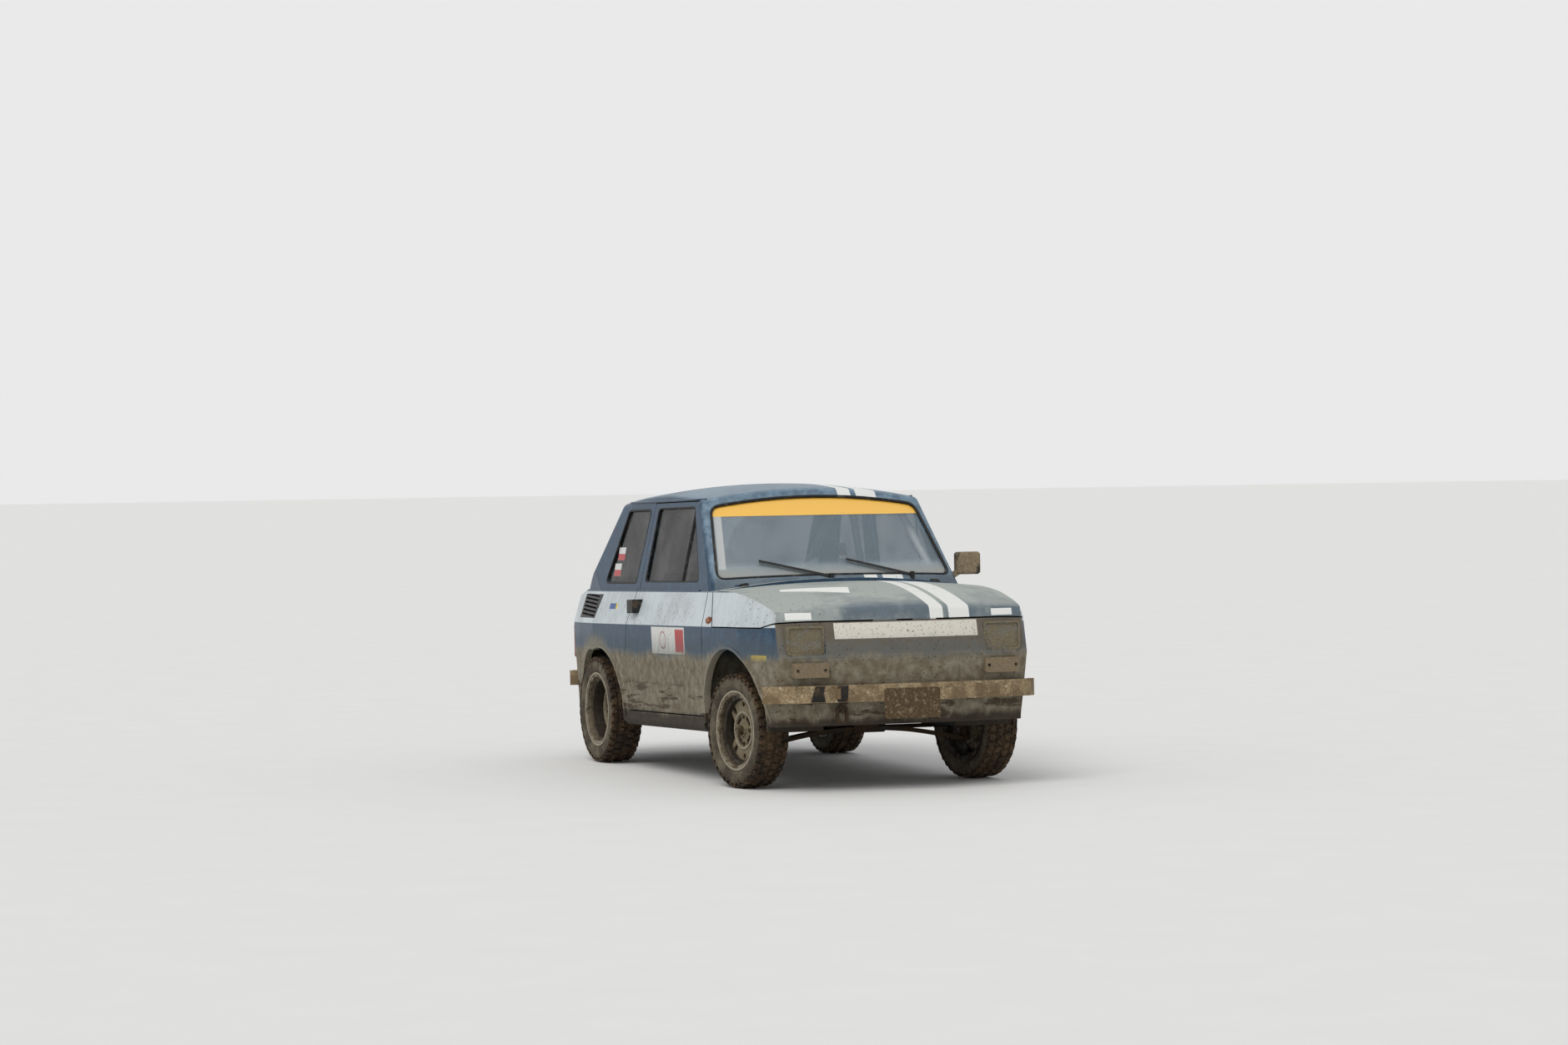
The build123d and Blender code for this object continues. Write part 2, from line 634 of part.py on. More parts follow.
def bumper_bar(spec, out):
    """One bumper bar, nearly straight between corners that wrap round the body."""
    turn, via, end = spec["turn"], spec["via"], spec["end"]
    inner_turn, inner_via, inner_end = spec["inner"]
    z_low, z_high = spec["z"]
    with BuildPart() as bar:
        with BuildSketch(Plane.XY.offset(z_low)):
            with BuildLine():
                ThreePointArc(mirrored(turn), (0, spec["mid"]), turn)
                ThreePointArc(turn, via, end)
                Line(end, inner_end)
                ThreePointArc(inner_end, inner_via, inner_turn)
                ThreePointArc(inner_turn, (0, spec["mid"] - out * spec["depth"]), mirrored(inner_turn))
                ThreePointArc(mirrored(inner_turn), mirrored(inner_via), mirrored(inner_end))
                Line(mirrored(inner_end), mirrored(end))
                ThreePointArc(mirrored(end), mirrored(via), mirrored(turn))
            make_face()
        extrude(amount=z_high - z_low)
    return bar.part


def bumper_brackets(spec, out):
    """The two short brackets between a bumper and its end panel."""
    z_low, z_high = spec["z"]
    with BuildPart() as brackets:
        for side in (-1, 1):
            x = side * BRACKET_X
            y = sorted((spec["mid"] - out * spec["depth"] / 2, spec["mid"] - out * 100))
            add(box((x - BRACKET_HALF, x + BRACKET_HALF), y, (z_low + 15, z_high - 15)))
        add(lower_body, mode=Mode.SUBTRACT)
    return brackets.part


with BuildPart() as front_bumper:
    add(bumper_bar(FRONT_BUMPER, -1))
    add(bumper_brackets(FRONT_BUMPER, -1))

with BuildPart() as rear_bumper:
    add(bumper_bar(REAR_BUMPER, 1))
    add(bumper_brackets(REAR_BUMPER, 1))

# Blank number plate, bent to the front bumper's bow and riveted to its face
PLATE_X = (-130, 141)
PLATE_Z = (317, 454)
PLATE_T = 2.5
PLATE_CORNER_R = 8
with BuildPart() as number_plate:
    with BuildSketch(Plane.XY.offset(PLATE_Z[0])):
        with BuildLine():
            turn, mid = FRONT_BUMPER["turn"], FRONT_BUMPER["mid"]
            raised = (turn[0], turn[1] - PLATE_T)
            ThreePointArc(mirrored(turn), (0, mid), turn)
            Line(turn, raised)
            ThreePointArc(raised, (0, mid - PLATE_T), mirrored(raised))
            Line(mirrored(raised), mirrored(turn))
        make_face()
    extrude(amount=PLATE_Z[1] - PLATE_Z[0])
    add(box(PLATE_X, (-650, -500), PLATE_Z), mode=Mode.INTERSECT)
    fillet(number_plate.edges().filter_by(Axis.Y), PLATE_CORNER_R)

# Towing eye: a loop under the nose panel
TOW_X = -318
with BuildPart() as tow_eye:
    with BuildSketch(Plane.XZ.offset(536)):
        with Locations((TOW_X, 340)):
            SlotCenterToCenter(34, 58, rotation=90)
            SlotCenterToCenter(34, 32, rotation=90, mode=Mode.SUBTRACT)
    extrude(amount=13)
    add(box((TOW_X - 10, TOW_X + 10), (-549, -512), (350, 372)))
    add(lower_body, mode=Mode.SUBTRACT)

# Louvred air intakes at the rear quarters
SLOT_PITCH = 17.5
SLOT_H = 9
with BuildPart() as side_louvres:
    add(shell)
    add(louvre_cut, mode=Mode.INTERSECT)
    for side in (-1, 1):
        for k in range(6):
            z = 776 + k * SLOT_PITCH
            slot = [(side * 540, z + 30), (side * 540, z + 30 + SLOT_H), (side * 720, z - 22 + SLOT_H),
                    (side * 720, z - 22)]
            add(front_prism(slot, 1846, 2148), mode=Mode.SUBTRACT)


# Floor, bulkheads, wheel tubs, tunnel and parcel shelf, welded into one pan
FLOOR_Z = (262, 284)
SHEET = 12
TUB_FRONT = {"x": 326, "y": (-332, 318), "z": 664}
TUB_REAR = {"x": 500, "y": (1520, 2165), "z": 652}
BULKHEAD_Y = (318, 330)
REAR_BULKHEAD_Y = (1560, 1572)
SHELF_Z = (866, 878)
SHELF_Y = (1572, 2130)
TUNNEL_HALF = 74
TUNNEL_TOP = 372
DRIVE_SLOT_Y = (1700, 1900)
LEG_X = 455
LEG_R = 38
LEG_Y = 1755
LEG_TOP_Z = 460
DOOR_CLEARANCE = 6
inner_trim = lower_form(WALL + 0.3) + green_form(WALL + 0.3)
door_band = door_hole - lower_form(WALL + DOOR_CLEARANCE) - green_form(WALL + DOOR_CLEARANCE)


def wheel_tub(spec, side, inner):
    """The block or the hollow of one wheel tub."""
    step = SHEET if inner else 0
    low, high = sorted((side * (spec["x"] + step), side * 800))
    y_low, y_high = spec["y"]
    return box((low, high), (y_low + step, y_high - step), (0 if inner else FLOOR_Z[0], spec["z"] - step))


with BuildPart() as floor_pan:
    add(box((-640, 640), (TUB_FRONT["y"][0] - 180, REAR_BULKHEAD_Y[1]), (FLOOR_Z[0] + 28, FLOOR_Z[1] + 28)))
    add(box((-640, 640), (BULKHEAD_Y[0], REAR_BULKHEAD_Y[1]), FLOOR_Z))
    add(box((-700, 700), (BULKHEAD_Y[0], REAR_BULKHEAD_Y[1]), (FLOOR_Z[1], FLOOR_Z[1] + 60)), mode=Mode.SUBTRACT)
    add(box((-700, 700), BULKHEAD_Y, (FLOOR_Z[0], 884)))
    add(box((-700, 700), REAR_BULKHEAD_Y, (FLOOR_Z[0], SHELF_Z[1])))
    add(box((-700, 700), SHELF_Y, SHELF_Z))
    for side in (-1, 1):
        add(wheel_tub(TUB_FRONT, side, False))
        add(wheel_tub(TUB_REAR, side, False))
    add(front_prism([(-TUNNEL_HALF, FLOOR_Z[0]), (-TUNNEL_HALF + 16, TUNNEL_TOP), (TUNNEL_HALF - 16, TUNNEL_TOP),
                     (TUNNEL_HALF, FLOOR_Z[0])], BULKHEAD_Y[0], REAR_BULKHEAD_Y[1], corner=6))
    add(front_prism([(-TUNNEL_HALF + SHEET, 0), (-TUNNEL_HALF + 28, TUNNEL_TOP - SHEET),
                     (TUNNEL_HALF - 28, TUNNEL_TOP - SHEET), (TUNNEL_HALF - SHEET, 0)], BULKHEAD_Y[0] - 1,
                    REAR_BULKHEAD_Y[1] + 2), mode=Mode.SUBTRACT)
    for side in (-1, 1):
        add(wheel_tub(TUB_FRONT, side, True), mode=Mode.SUBTRACT)
        add(wheel_tub(TUB_REAR, side, True), mode=Mode.SUBTRACT)
        low, high = sorted((side * (TUB_REAR["x"] - 5), side * (TUB_REAR["x"] + 20)))
        add(box((low, high), DRIVE_SLOT_Y, (0, 420)), mode=Mode.SUBTRACT)
        low, high = sorted((side * (LEG_X - LEG_R - 5), side * (TUB_REAR["x"] + 5)))
        add(box((low, high), (LEG_Y - LEG_R - 5, LEG_Y + LEG_R + 5), (LEG_TOP_Z, LEG_TOP_Z + SHEET)))
        add(sills["left" if side > 0 else "right"], mode=Mode.SUBTRACT)
    add(inner_trim, mode=Mode.INTERSECT)
    add(door_band, mode=Mode.SUBTRACT)

# Roll cage: a hoop behind the seats, a leg down each windscreen pillar and a stay to the shelf
CAGE_R = 19
HOOP_Y = 1312
HOOP = [(-566, FLOOR_Z[1]), (-566, 890), (-500, 1308), (500, 1308), (566, 890), (566, FLOOR_Z[1])]


def tube(points, bend, radius):
    """A round tube along straight runs joined by bends."""
    with BuildPart() as pipe:
        with BuildLine() as route:
            FilletPolyline(*points, radius=bend)
        with BuildSketch(Plane(route.line @ 0, z_dir=route.line % 0)):
            Circle(radius)
        sweep()
    return pipe.part


with BuildPart() as roll_cage:
    add(tube([(x, HOOP_Y, z) for x, z in HOOP], 90, CAGE_R))
    for side in (-1, 1):
        leg = [(side * 494, HOOP_Y - 6, 1294), (side * 488, 690, 1280), (side * 566, 372, 900),
               (side * 566, 372, FLOOR_Z[1])]
        add(tube(leg, 70, CAGE_R))
        stay = [(side * 420, HOOP_Y + 4, 1300), (side * 420, 1860, SHELF_Z[1])]
        with BuildPart() as strut:
            with BuildLine() as run:
                Line(*stay)
            with BuildSketch(Plane(run.line @ 0, z_dir=run.line % 0)):
                Circle(CAGE_R)
            sweep()
        add(strut.part)
    add(box((-700, 700), (200, 2300), (SHELF_Z[1] - 200, SHELF_Z[1])) & box((-460, 460), (1700, 2300), (600, 900)),
        mode=Mode.SUBTRACT)

# Dashboard with the steering column's housing
DASH = [(330, 705), (470, 705), (486, 760), (452, 872), (330, 872)]
COLUMN_TILT = 22
WHEEL_X = 290
WHEEL_CENTRE = (WHEEL_X, 742, 806)
STEER_R = 172
COLUMN_R = 26
SHAFT_R = 11
SHAFT_GAP = 0.3
wheel_plane = Plane(WHEEL_CENTRE, x_dir=(1, 0, 0), z_dir=(0, cos(radians(COLUMN_TILT)), sin(radians(COLUMN_TILT))))
with BuildPart() as dashboard:
    add(side_prism(DASH, -520, 520, corner=14))
    with BuildSketch(wheel_plane.offset(-70)):
        with Locations((0, 0)):
            Circle(COLUMN_R)
    extrude(amount=-210)
    with BuildSketch(wheel_plane.offset(0)):
        Circle(SHAFT_R + SHAFT_GAP)
    extrude(amount=-262, mode=Mode.SUBTRACT)

with BuildPart() as steering_wheel:
    with BuildSketch(Plane(wheel_plane.origin, x_dir=wheel_plane.z_dir, z_dir=(-1, 0, 0)).offset(0)) as grip:
        with Locations((0, STEER_R)):
            Circle(14)
    revolve(axis=Axis(wheel_plane.origin, wheel_plane.z_dir))
    with BuildSketch(wheel_plane.offset(-34)):
        Circle(36)
    extrude(amount=22)
    with BuildSketch(wheel_plane.offset(-12)):
        for turn in (0, 180, 270):
            with Locations(Rot(0, 0, turn) * Pos(STEER_R / 2, 0)):
                Rectangle(STEER_R, 26)
    extrude(amount=8)
    with BuildSketch(wheel_plane.offset(-30)):
        Circle(SHAFT_R)
    extrude(amount=-228)

# Bucket seats on their runners
SEAT_X = 300
SEAT_HALF = 225
SEAT_SHELL = [(700, 345), (712, 452), (1010, 420), (1120, 640), (1218, 985), (1262, 975), (1166, 600),
              (1076, 345)]
SEAT_WING = [(716, 345), (726, 500), (960, 500), (1000, 700), (1080, 760), (1132, 960), (1262, 975), (1166, 600),
             (1076, 345)]
SEAT_WING_W = 48
with BuildPart() as seats:
    for side in (-1, 1):
        x = side * SEAT_X
        add(side_prism(SEAT_SHELL, x - SEAT_HALF, x + SEAT_HALF, corner=16))
        for edge in (-1, 1):
            outer_x = x + edge * SEAT_HALF
            low, high = sorted((outer_x, outer_x - edge * SEAT_WING_W))
            add(side_prism(SEAT_WING, low, high, corner=16))
            rail_x = x + edge * 150
            add(box((rail_x - 18, rail_x + 18), (760, 1040), (FLOOR_Z[1], 350)))

# Engine, gearbox with final drive, and exhaust
REAR_HUB = (REAR_HUB_Y, REAR_HUB_Z)
ENGINE_Y = (2000, 2290)
ENGINE_Z = (330, 690)
FINAL_DRIVE_HALF = 96
with BuildPart() as engine_block:
    add(box((-190, 190), ENGINE_Y, ENGINE_Z))
    fillet(engine_block.edges().filter_by(Axis.Y), 24)
    add(box((-45, 45), (ENGINE_Y[1] - 10, 2500), (380, 420)) & lower_inside)
with BuildPart() as gearbox:
    with BuildSketch(Plane.XZ.offset(-REAR_BULKHEAD_Y[1])):
        with Locations((0, REAR_HUB_Z)):
            Circle(62)
    extrude(amount=REAR_BULKHEAD_Y[1] - ENGINE_Y[0])
    with BuildSketch(Plane.YZ.offset(-FINAL_DRIVE_HALF)):
        with Locations(REAR_HUB):
            Circle(92)
    extrude(amount=2 * FINAL_DRIVE_HALF)
DRIVE_R = 13
SPINDLE_X = 588
CARRIER_X = (440, 512)
PIN_GAP = 0.06
with BuildPart() as drive_shafts:
    for side in (-1, 1):
        with BuildSketch(Plane.YZ.offset(side * FINAL_DRIVE_HALF)):
            with Locations(REAR_HUB):
                Circle(DRIVE_R)
        extrude(amount=side * (SPINDLE_X - FINAL_DRIVE_HALF))
        with BuildSketch(Plane.YZ.offset(side * FINAL_DRIVE_HALF)):
            with Locations(REAR_HUB):
                Circle(38)
        extrude(amount=side * 60)
SILENCER_AT = (2330, 255)
with BuildPart() as silencer:
    with BuildSketch(Plane.YZ.offset(-330)):
        with Locations(SILENCER_AT):
            SlotOverall(120, 60)
    extrude(amount=430)
    for x in (-140, 60):
        add(box((x - 8, x + 8), (ENGINE_Y[1] - 18, ENGINE_Y[1] - 2), (SILENCER_AT[1], ENGINE_Z[0])))
    with BuildSketch(Plane.XZ.offset(-SILENCER_AT[0] - 50)):
        with Locations((-290, SILENCER_AT[1])):
            Circle(19)
    extrude(amount=-75)

# Rear suspension: a semi-trailing arm, a hub carrier and a spring leg at each side
ARM_PIVOT_Y = 1600
with BuildPart() as rear_suspension:
    for side in (-1, 1):
        arm = [(side * 190, ARM_PIVOT_Y - 28), (side * 486, ARM_PIVOT_Y - 28), (side * 512, REAR_HUB_Y + 46),
               (side * 440, REAR_HUB_Y + 46), (side * 400, ARM_PIVOT_Y + 90), (side * 190, ARM_PIVOT_Y + 20)]
        add(plan_prism(arm, 262, 290, corner=8))
        with BuildSketch(Plane.YZ.offset(side * 440)):
            with Locations(REAR_HUB):
                Circle(52)
        extrude(amount=side * (CARRIER_X[1] - CARRIER_X[0]))
        with BuildSketch(Plane.XY.offset(280)):
            with Locations((side * LEG_X, LEG_Y)):
                Circle(LEG_R)
        extrude(amount=LEG_TOP_Z - 280)
        with BuildSketch(Plane.YZ.offset(side * 400)):
            with Locations(REAR_HUB):
                Circle(DRIVE_R + PIN_GAP)
        extrude(amount=side * 300, mode=Mode.SUBTRACT)

# Front suspension: a transverse leaf spring below and an upper arm at each side
PIN_X = 508
PIN_R = 9
LEAF_Z = 176
LEAF_T = 20
ARM_Z = (366, 388)
EYE_HALF = 16
POST_R = 20
with BuildPart() as front_suspension:
    leaf_end = PIN_X - EYE_HALF
    with BuildSketch(Plane.XZ.offset(-FRONT_HUB_Y + 32)):
        with BuildLine():
            ThreePointArc((-leaf_end, LEAF_Z), (0, LEAF_Z + 66), (leaf_end, LEAF_Z))
            Line((leaf_end, LEAF_Z), (leaf_end, LEAF_Z + LEAF_T))
            ThreePointArc((leaf_end, LEAF_Z + LEAF_T), (0, LEAF_Z + 66 + LEAF_T), (-leaf_end, LEAF_Z + LEAF_T))
            Line((-leaf_end, LEAF_Z + LEAF_T), (-leaf_end, LEAF_Z))
        make_face()
    extrude(amount=-64)
    add(box((-60, 60), (FRONT_HUB_Y - 40, FRONT_HUB_Y + 40), (LEAF_Z + 60, FLOOR_Z[0] + 28)))
    for side in (-1, 1):
        low, high = sorted((side * (leaf_end - 10), side * (PIN_X + EYE_HALF)))
        add(box((low, high), (FRONT_HUB_Y - EYE_HALF, FRONT_HUB_Y + EYE_HALF), (LEAF_Z, LEAF_Z + LEAF_T)))
        low, high = sorted((side * (TUB_FRONT["x"] + SHEET), side * (PIN_X + EYE_HALF)))
        add(box((low, high), (FRONT_HUB_Y - EYE_HALF, FRONT_HUB_Y + EYE_HALF), ARM_Z))
        with BuildSketch(Plane.XY.offset(LEAF_Z - 5)):
            with Locations((side * PIN_X, FRONT_HUB_Y)):
                Circle(PIN_R + PIN_GAP)
        extrude(amount=ARM_Z[1] - LEAF_Z + 10, mode=Mode.SUBTRACT)
        with BuildSketch(Plane.XY.offset(LEAF_Z + LEAF_T)):
            with Locations((side * PIN_X, FRONT_HUB_Y)):
                Circle(POST_R + 1)
        extrude(amount=ARM_Z[0] - LEAF_Z - LEAF_T, mode=Mode.SUBTRACT)

# Steering rack housing, under the boot floor
RACK_Y = 103
RACK_Z = 250
with BuildPart() as steering_rack:
    with BuildSketch(Plane.YZ.offset(-150)):
        with Locations((RACK_Y, RACK_Z)):
            Circle(24)
    extrude(amount=300)
    for x in (-110, 110):
        add(box((x - 16, x + 16), (RACK_Y - 16, RACK_Y + 16), (RACK_Z + 10, FLOOR_Z[0] + 28)))
    with BuildSketch(Plane.YZ.offset(-160)):
        with Locations((RACK_Y, RACK_Z)):
            Circle(10.3)
    extrude(amount=320, mode=Mode.SUBTRACT)

# Front knuckles, modelled straight ahead and then turned to the rest steer
STEER_ARM = 110.4
EYE_R = 14
SPINDLE_R = 17
FRONT_WHEEL_X = FRONT_TRACK / 2
REAR_WHEEL_X = REAR_TRACK / 2
knuckles = {}
for side, name in ((1, "left"), (-1, "right")):
    pin = (side * PIN_X, FRONT_HUB_Y)
    with BuildPart() as knuckle:
        with BuildSketch(Plane.XY.offset(LEAF_Z + LEAF_T + PIN_GAP)):
            with Locations(pin):
                Circle(POST_R)
        extrude(amount=ARM_Z[0] - LEAF_Z - LEAF_T - 2 * PIN_GAP)
        with BuildSketch(Plane.XY.offset(LEAF_Z + 2)):
            with Locations(pin):
                Circle(PIN_R)
        extrude(amount=ARM_Z[1] - LEAF_Z - 4)
        with BuildSketch(Plane.YZ.offset(side * PIN_X)):
            with Locations((FRONT_HUB_Y, FRONT_HUB_Z)):
                Circle(SPINDLE_R)
        extrude(amount=side * (FRONT_WHEEL_X + 4 - PIN_X))
        add(box((pin[0] - 9, pin[0] + 9), (FRONT_HUB_Y, FRONT_HUB_Y + STEER_ARM), (RACK_Z - 8, RACK_Z + 8)))
        with BuildSketch(Plane.XY.offset(RACK_Z - 8)):
            with Locations((pin[0], FRONT_HUB_Y + STEER_ARM)):
                Circle(EYE_R)
        extrude(amount=16)
    knuckles[name] = knuckle

ROD_R = 10
ROD_END_GAP = 6
eye_shift = -STEER_ARM * sin(radians(REST_STEER))
with BuildPart() as track_rod:
    with BuildSketch(Plane.YZ.offset(-PIN_X + eye_shift + EYE_R + ROD_END_GAP)):
        with Locations((RACK_Y, RACK_Z)):
            Circle(ROD_R)
    extrude(amount=2 * (PIN_X - EYE_R - ROD_END_GAP))

# Wheels, drawn about the X axis with their outer side at +X, as (place, radius) outlines
LIP_R = 183.7
SEAT_R = 165
WELL_R = 150
RIM_T = 6
WHEELS = {
    "front": {"half": 62, "tyre_half": 77, "disc": (8, 20), "boss": (-28, 26), "boss_r": 46, "bore": SPINDLE_R,
              "bore_end": 10, "ring": (76, 88, 26)},
    "rear": {"half": 67, "tyre_half": 81, "disc": (-24, -14), "boss": (-66, -4), "boss_r": 56, "bore": DRIVE_R,
             "bore_end": -10, "ring": (103, 114, 0)},
}
# Windows in the discs, on rays from the hub. Columns: inner and outer radius, angle from straight
# ahead of the first one, number round the hub, and half its angle at the inner and outer radius.
WINDOWS = {
    "front": [(90, 141, 0, 2, 20, 33), (100, 139, 46, 2, 5, 6), (100, 139, -46, 2, 5, 6), (50, 73, 45, 4, 21, 25)],
    "rear": [(118, 140, 0, 8, 9, 12), (64, 94, 22.5, 8, 9, 12)],
}
WINDOW_CORNER = 4
LOBE_HOLE = {"at": 119, "r": 12, "turns": (90, 270)}
BORE_GAP = 0.06
TYRE_GAP = 0.3


def about_x(outline):
    """A solid of revolution about the wheel's axis."""
    with BuildPart() as form:
        with BuildSketch(Plane.XY):
            with BuildLine():
                Polyline(*outline, close=True)
            make_face()
        revolve(axis=Axis.X)
    return form.part


def disc_windows(window, x_low, x_high):
    """One ring of windows through a wheel disc, each between two arcs about the hub."""
    low, high, first, count, low_half, high_half = window
    with BuildPart() as holes:
        for k in range(count):
            at = first + 360 / count * k
            with BuildSketch(Plane.YZ.offset(x_low)) as view:
                with BuildLine():
                    inner = [Vector(low, 0).rotate(Axis.Z, at + d) for d in (-low_half, 0, low_half)]
                    outer = [Vector(high, 0).rotate(Axis.Z, at + d) for d in (high_half, 0, -high_half)]
                    ThreePointArc(*inner)
                    Line(inner[2], outer[0])
                    ThreePointArc(*outer)
                    Line(outer[2], inner[0])
                make_face()
                fillet(view.vertices(), WINDOW_CORNER)
            extrude(amount=x_high - x_low)
    return holes.part


def rim(axle):
    """A steel rim: dropped well, flanges, disc with its windows, hub boss and cap."""
    spec = WHEELS[axle]
    half = spec["half"]
    outer = [(half + RIM_T, LIP_R), (half, LIP_R), (half, SEAT_R + 2), (half - 4, SEAT_R), (half - 22, SEAT_R),
             (half - 28, WELL_R)]
    inner = [(half - 24, WELL_R - RIM_T), (half - 18, SEAT_R - RIM_T), (half + 2, SEAT_R - RIM_T + 1),
             (half + RIM_T, LIP_R - 6)]
    barrel = outer + [(-x, r) for x, r in reversed(outer)]
    barrel += [(-x, r) for x, r in reversed(inner)] + inner
    disc_low, disc_high = spec["disc"]
    boss_low, boss_high = spec["boss"]
    with BuildPart() as form:
        add(about_x(barrel))
        add(about_x([(disc_low, 0), (disc_low, WELL_R - 3), (disc_high, WELL_R - 3), (disc_high, 0)]))
        ring_low, ring_high, ring_x = spec["ring"]
        add(about_x([(disc_low, ring_low), (disc_low, ring_high), (ring_x, ring_high - 2), (ring_x, ring_low + 2)]))
        for window in WINDOWS[axle]:
            add(disc_windows(window, disc_low - 2, disc_high + 2), mode=Mode.SUBTRACT)
        if axle == "front":
            with BuildSketch(Plane.YZ.offset(disc_low - 2)):
                for turn in LOBE_HOLE["turns"]:
                    with Locations(Rot(0, 0, turn) * Pos(LOBE_HOLE["at"], 0)):
                        Circle(LOBE_HOLE["r"])
            extrude(amount=disc_high - disc_low + 4, mode=Mode.SUBTRACT)
        boss_r = spec["boss_r"]
        add(about_x([(boss_low, 0), (boss_low, boss_r), (disc_high - 2, boss_r), (boss_high, 34), (boss_high + 8, 30),
                     (boss_high + 8, 0)]))
        add(about_x([(boss_low - 8, 0), (boss_low - 8, 96), (boss_low + 18, 96), (boss_low + 18, 0)]))
        add(about_x([(boss_low - 20, 0), (boss_low - 20, spec["bore"] + BORE_GAP),
                     (spec["bore_end"], spec["bore"] + BORE_GAP), (spec["bore_end"], 0)]), mode=Mode.SUBTRACT)
    return form.part


def tyre(spec):
    """A tyre on its seats: rounded side walls and a crowned tread."""
    half, wide = spec["half"] - TYRE_GAP, spec["tyre_half"]
    with BuildPart() as form:
        with BuildSketch(Plane.XY):
            with BuildLine():
                ThreePointArc((half, LIP_R + 1), (wide, LIP_R + 26), (wide - 4, TYRE_R - 20))
                Line((wide - 4, TYRE_R - 20), (wide - 14, TYRE_R - 3))
                ThreePointArc((wide - 14, TYRE_R - 3), (0, TYRE_R), (14 - wide, TYRE_R - 3))
                Line((14 - wide, TYRE_R - 3), (4 - wide, TYRE_R - 20))
                ThreePointArc((4 - wide, TYRE_R - 20), (-wide, LIP_R + 26), (-half, LIP_R + 1))
                Polyline((-half, LIP_R + 1), (-half, SEAT_R + 3), (4 - half, SEAT_R + TYRE_GAP),
                         (half - 4, SEAT_R + TYRE_GAP), (half, SEAT_R + 3), (half, LIP_R + 1))
            make_face()
        revolve(axis=Axis.X)
    return form.part


def on_axle(piece, axle, side):
    """Turn a wheel piece to its side of the car and put it on its axle, at the rest steer in front."""
    turned = piece if side > 0 else Rot(0, 0, 180) * piece
    if axle == "front":
        placed = Pos(side * FRONT_WHEEL_X, FRONT_HUB_Y, FRONT_HUB_Z) * turned
        return steered(placed, side)
    return Pos(side * REAR_WHEEL_X, REAR_HUB_Y, REAR_HUB_Z) * turned


def steered(piece, side):
    """Turn a piece about its side's steering pin by the rest steer."""
    pin = Pos(side * PIN_X, FRONT_HUB_Y, 0)
    return pin * Rot(0, 0, REST_STEER) * pin.inverse() * piece


# Wipers: blades and arms cut from layers over the glass
WIPERS = [((-42, 956), (-370, 1034), (-559, 1017), (-180, 1046)),
          ((376, 956), (60, 1034), (-104, 1018), (262, 1046))]
BLADE_W = 13
BLADE_T = 9
ARM_W = 11


def strip(start, end, width):
    """A straight strip in front view."""
    (x0, z0), (x1, z1) = start, end
    run = hypot(x1 - x0, z1 - z0)
    dx, dz = (z1 - z0) / run * width / 2, -(x1 - x0) / run * width / 2
    return [(x0 + dx, z0 + dz), (x1 + dx, z1 + dz), (x1 - dx, z1 - dz), (x0 - dx, z0 - dz)]


blade_layer = green_form(GLASS_INSET - BLADE_T) - green_form(GLASS_INSET - 0.3)
arm_layer = green_form(GLASS_INSET - BLADE_T - 7) - green_form(GLASS_INSET - BLADE_T)
with BuildPart() as wipers:
    for pivot, joint, blade_start, blade_end in WIPERS:
        add(front_prism(strip(blade_start, blade_end, BLADE_W), 100, 500) & blade_layer)
        add(front_prism(strip(pivot, joint, ARM_W), 100, 500) & arm_layer)
        with BuildSketch(Plane.XY.offset(936)):
            with Locations((pivot[0], SCREEN_BASE_MID_Y - 4 + pivot[0] ** 2 / (2 * SCREEN_ARC_R))):
                Circle(11)
        extrude(amount=34)
    add(outer_form, mode=Mode.SUBTRACT)

# Door mirror, on the car's left only
with BuildPart() as mirror_left:
    add(box((664, 790), (386, 436), (948, 1056)))
    fillet(mirror_left.edges(), 16)
    with BuildSketch(Plane.XZ.offset(-396)):
        with BuildLine():
            Polyline((600, 900), (600, 928), (690, 985), (700, 960), (600, 900))
        make_face()
    extrude(amount=-26)
    add(lower_body, mode=Mode.SUBTRACT)
    add(greenhouse, mode=Mode.SUBTRACT)

# Door handles
HANDLE = [(1174, 792), (1256, 790), (1254, 856), (1172, 858)]
handles = {}
for side, name in ((1, "left"), (-1, "right")):
    low, high = sorted((side * 600, side * 706))
    with BuildPart() as handle:
        add(side_prism(HANDLE, low, high, corner=6))
        add(lower_body, mode=Mode.SUBTRACT)
        low, high = sorted((side * 600, side * 640))
        add(box((low, high), (1100, 1300), (700, 900)), mode=Mode.SUBTRACT)
    handles[name] = handle

# Write every piece
PIECES = {
    "floor_pan": floor_pan, "nose_panel": nose_panel, "front_wing_left": wings["left"],
    "front_wing_right": wings["right"], "windscreen_frame": windscreen_frame, "roof_panel": roof_panel,
    "side_frame_left": side_frames["left"], "side_frame_right": side_frames["right"],
    "tail_panel": tail_panel, "side_louvres": side_louvres, "windscreen": windscreen,
    "rear_window": rear_window, "quarter_windows": quarter_windows, "headlamps": headlamps,
    "front_indicators": front_indicators, "tail_lamps": tail_lamps, "front_bumper": front_bumper,
    "rear_bumper": rear_bumper, "number_plate": number_plate, "tow_eye": tow_eye, "dashboard": dashboard,
    "seats": seats, "roll_cage": roll_cage, "wipers": wipers, "engine_block": engine_block, "gearbox": gearbox,
    "drive_shafts": drive_shafts, "silencer": silencer, "rear_suspension": rear_suspension,
    "front_suspension": front_suspension, "steering_rack": steering_rack, "bonnet": bonnet,
    "engine_lid": engine_lid, "door_left": doors["left"], "door_right": doors["right"],
    "door_glass_left": door_glasses["left"], "door_glass_right": door_glasses["right"],
    "door_handle_left": handles["left"], "door_handle_right": handles["right"], "mirror_left": mirror_left,
    "steering_wheel": steering_wheel, "track_rod": track_rod,
}
for label, made in PIECES.items():
    finish(made.part, label)
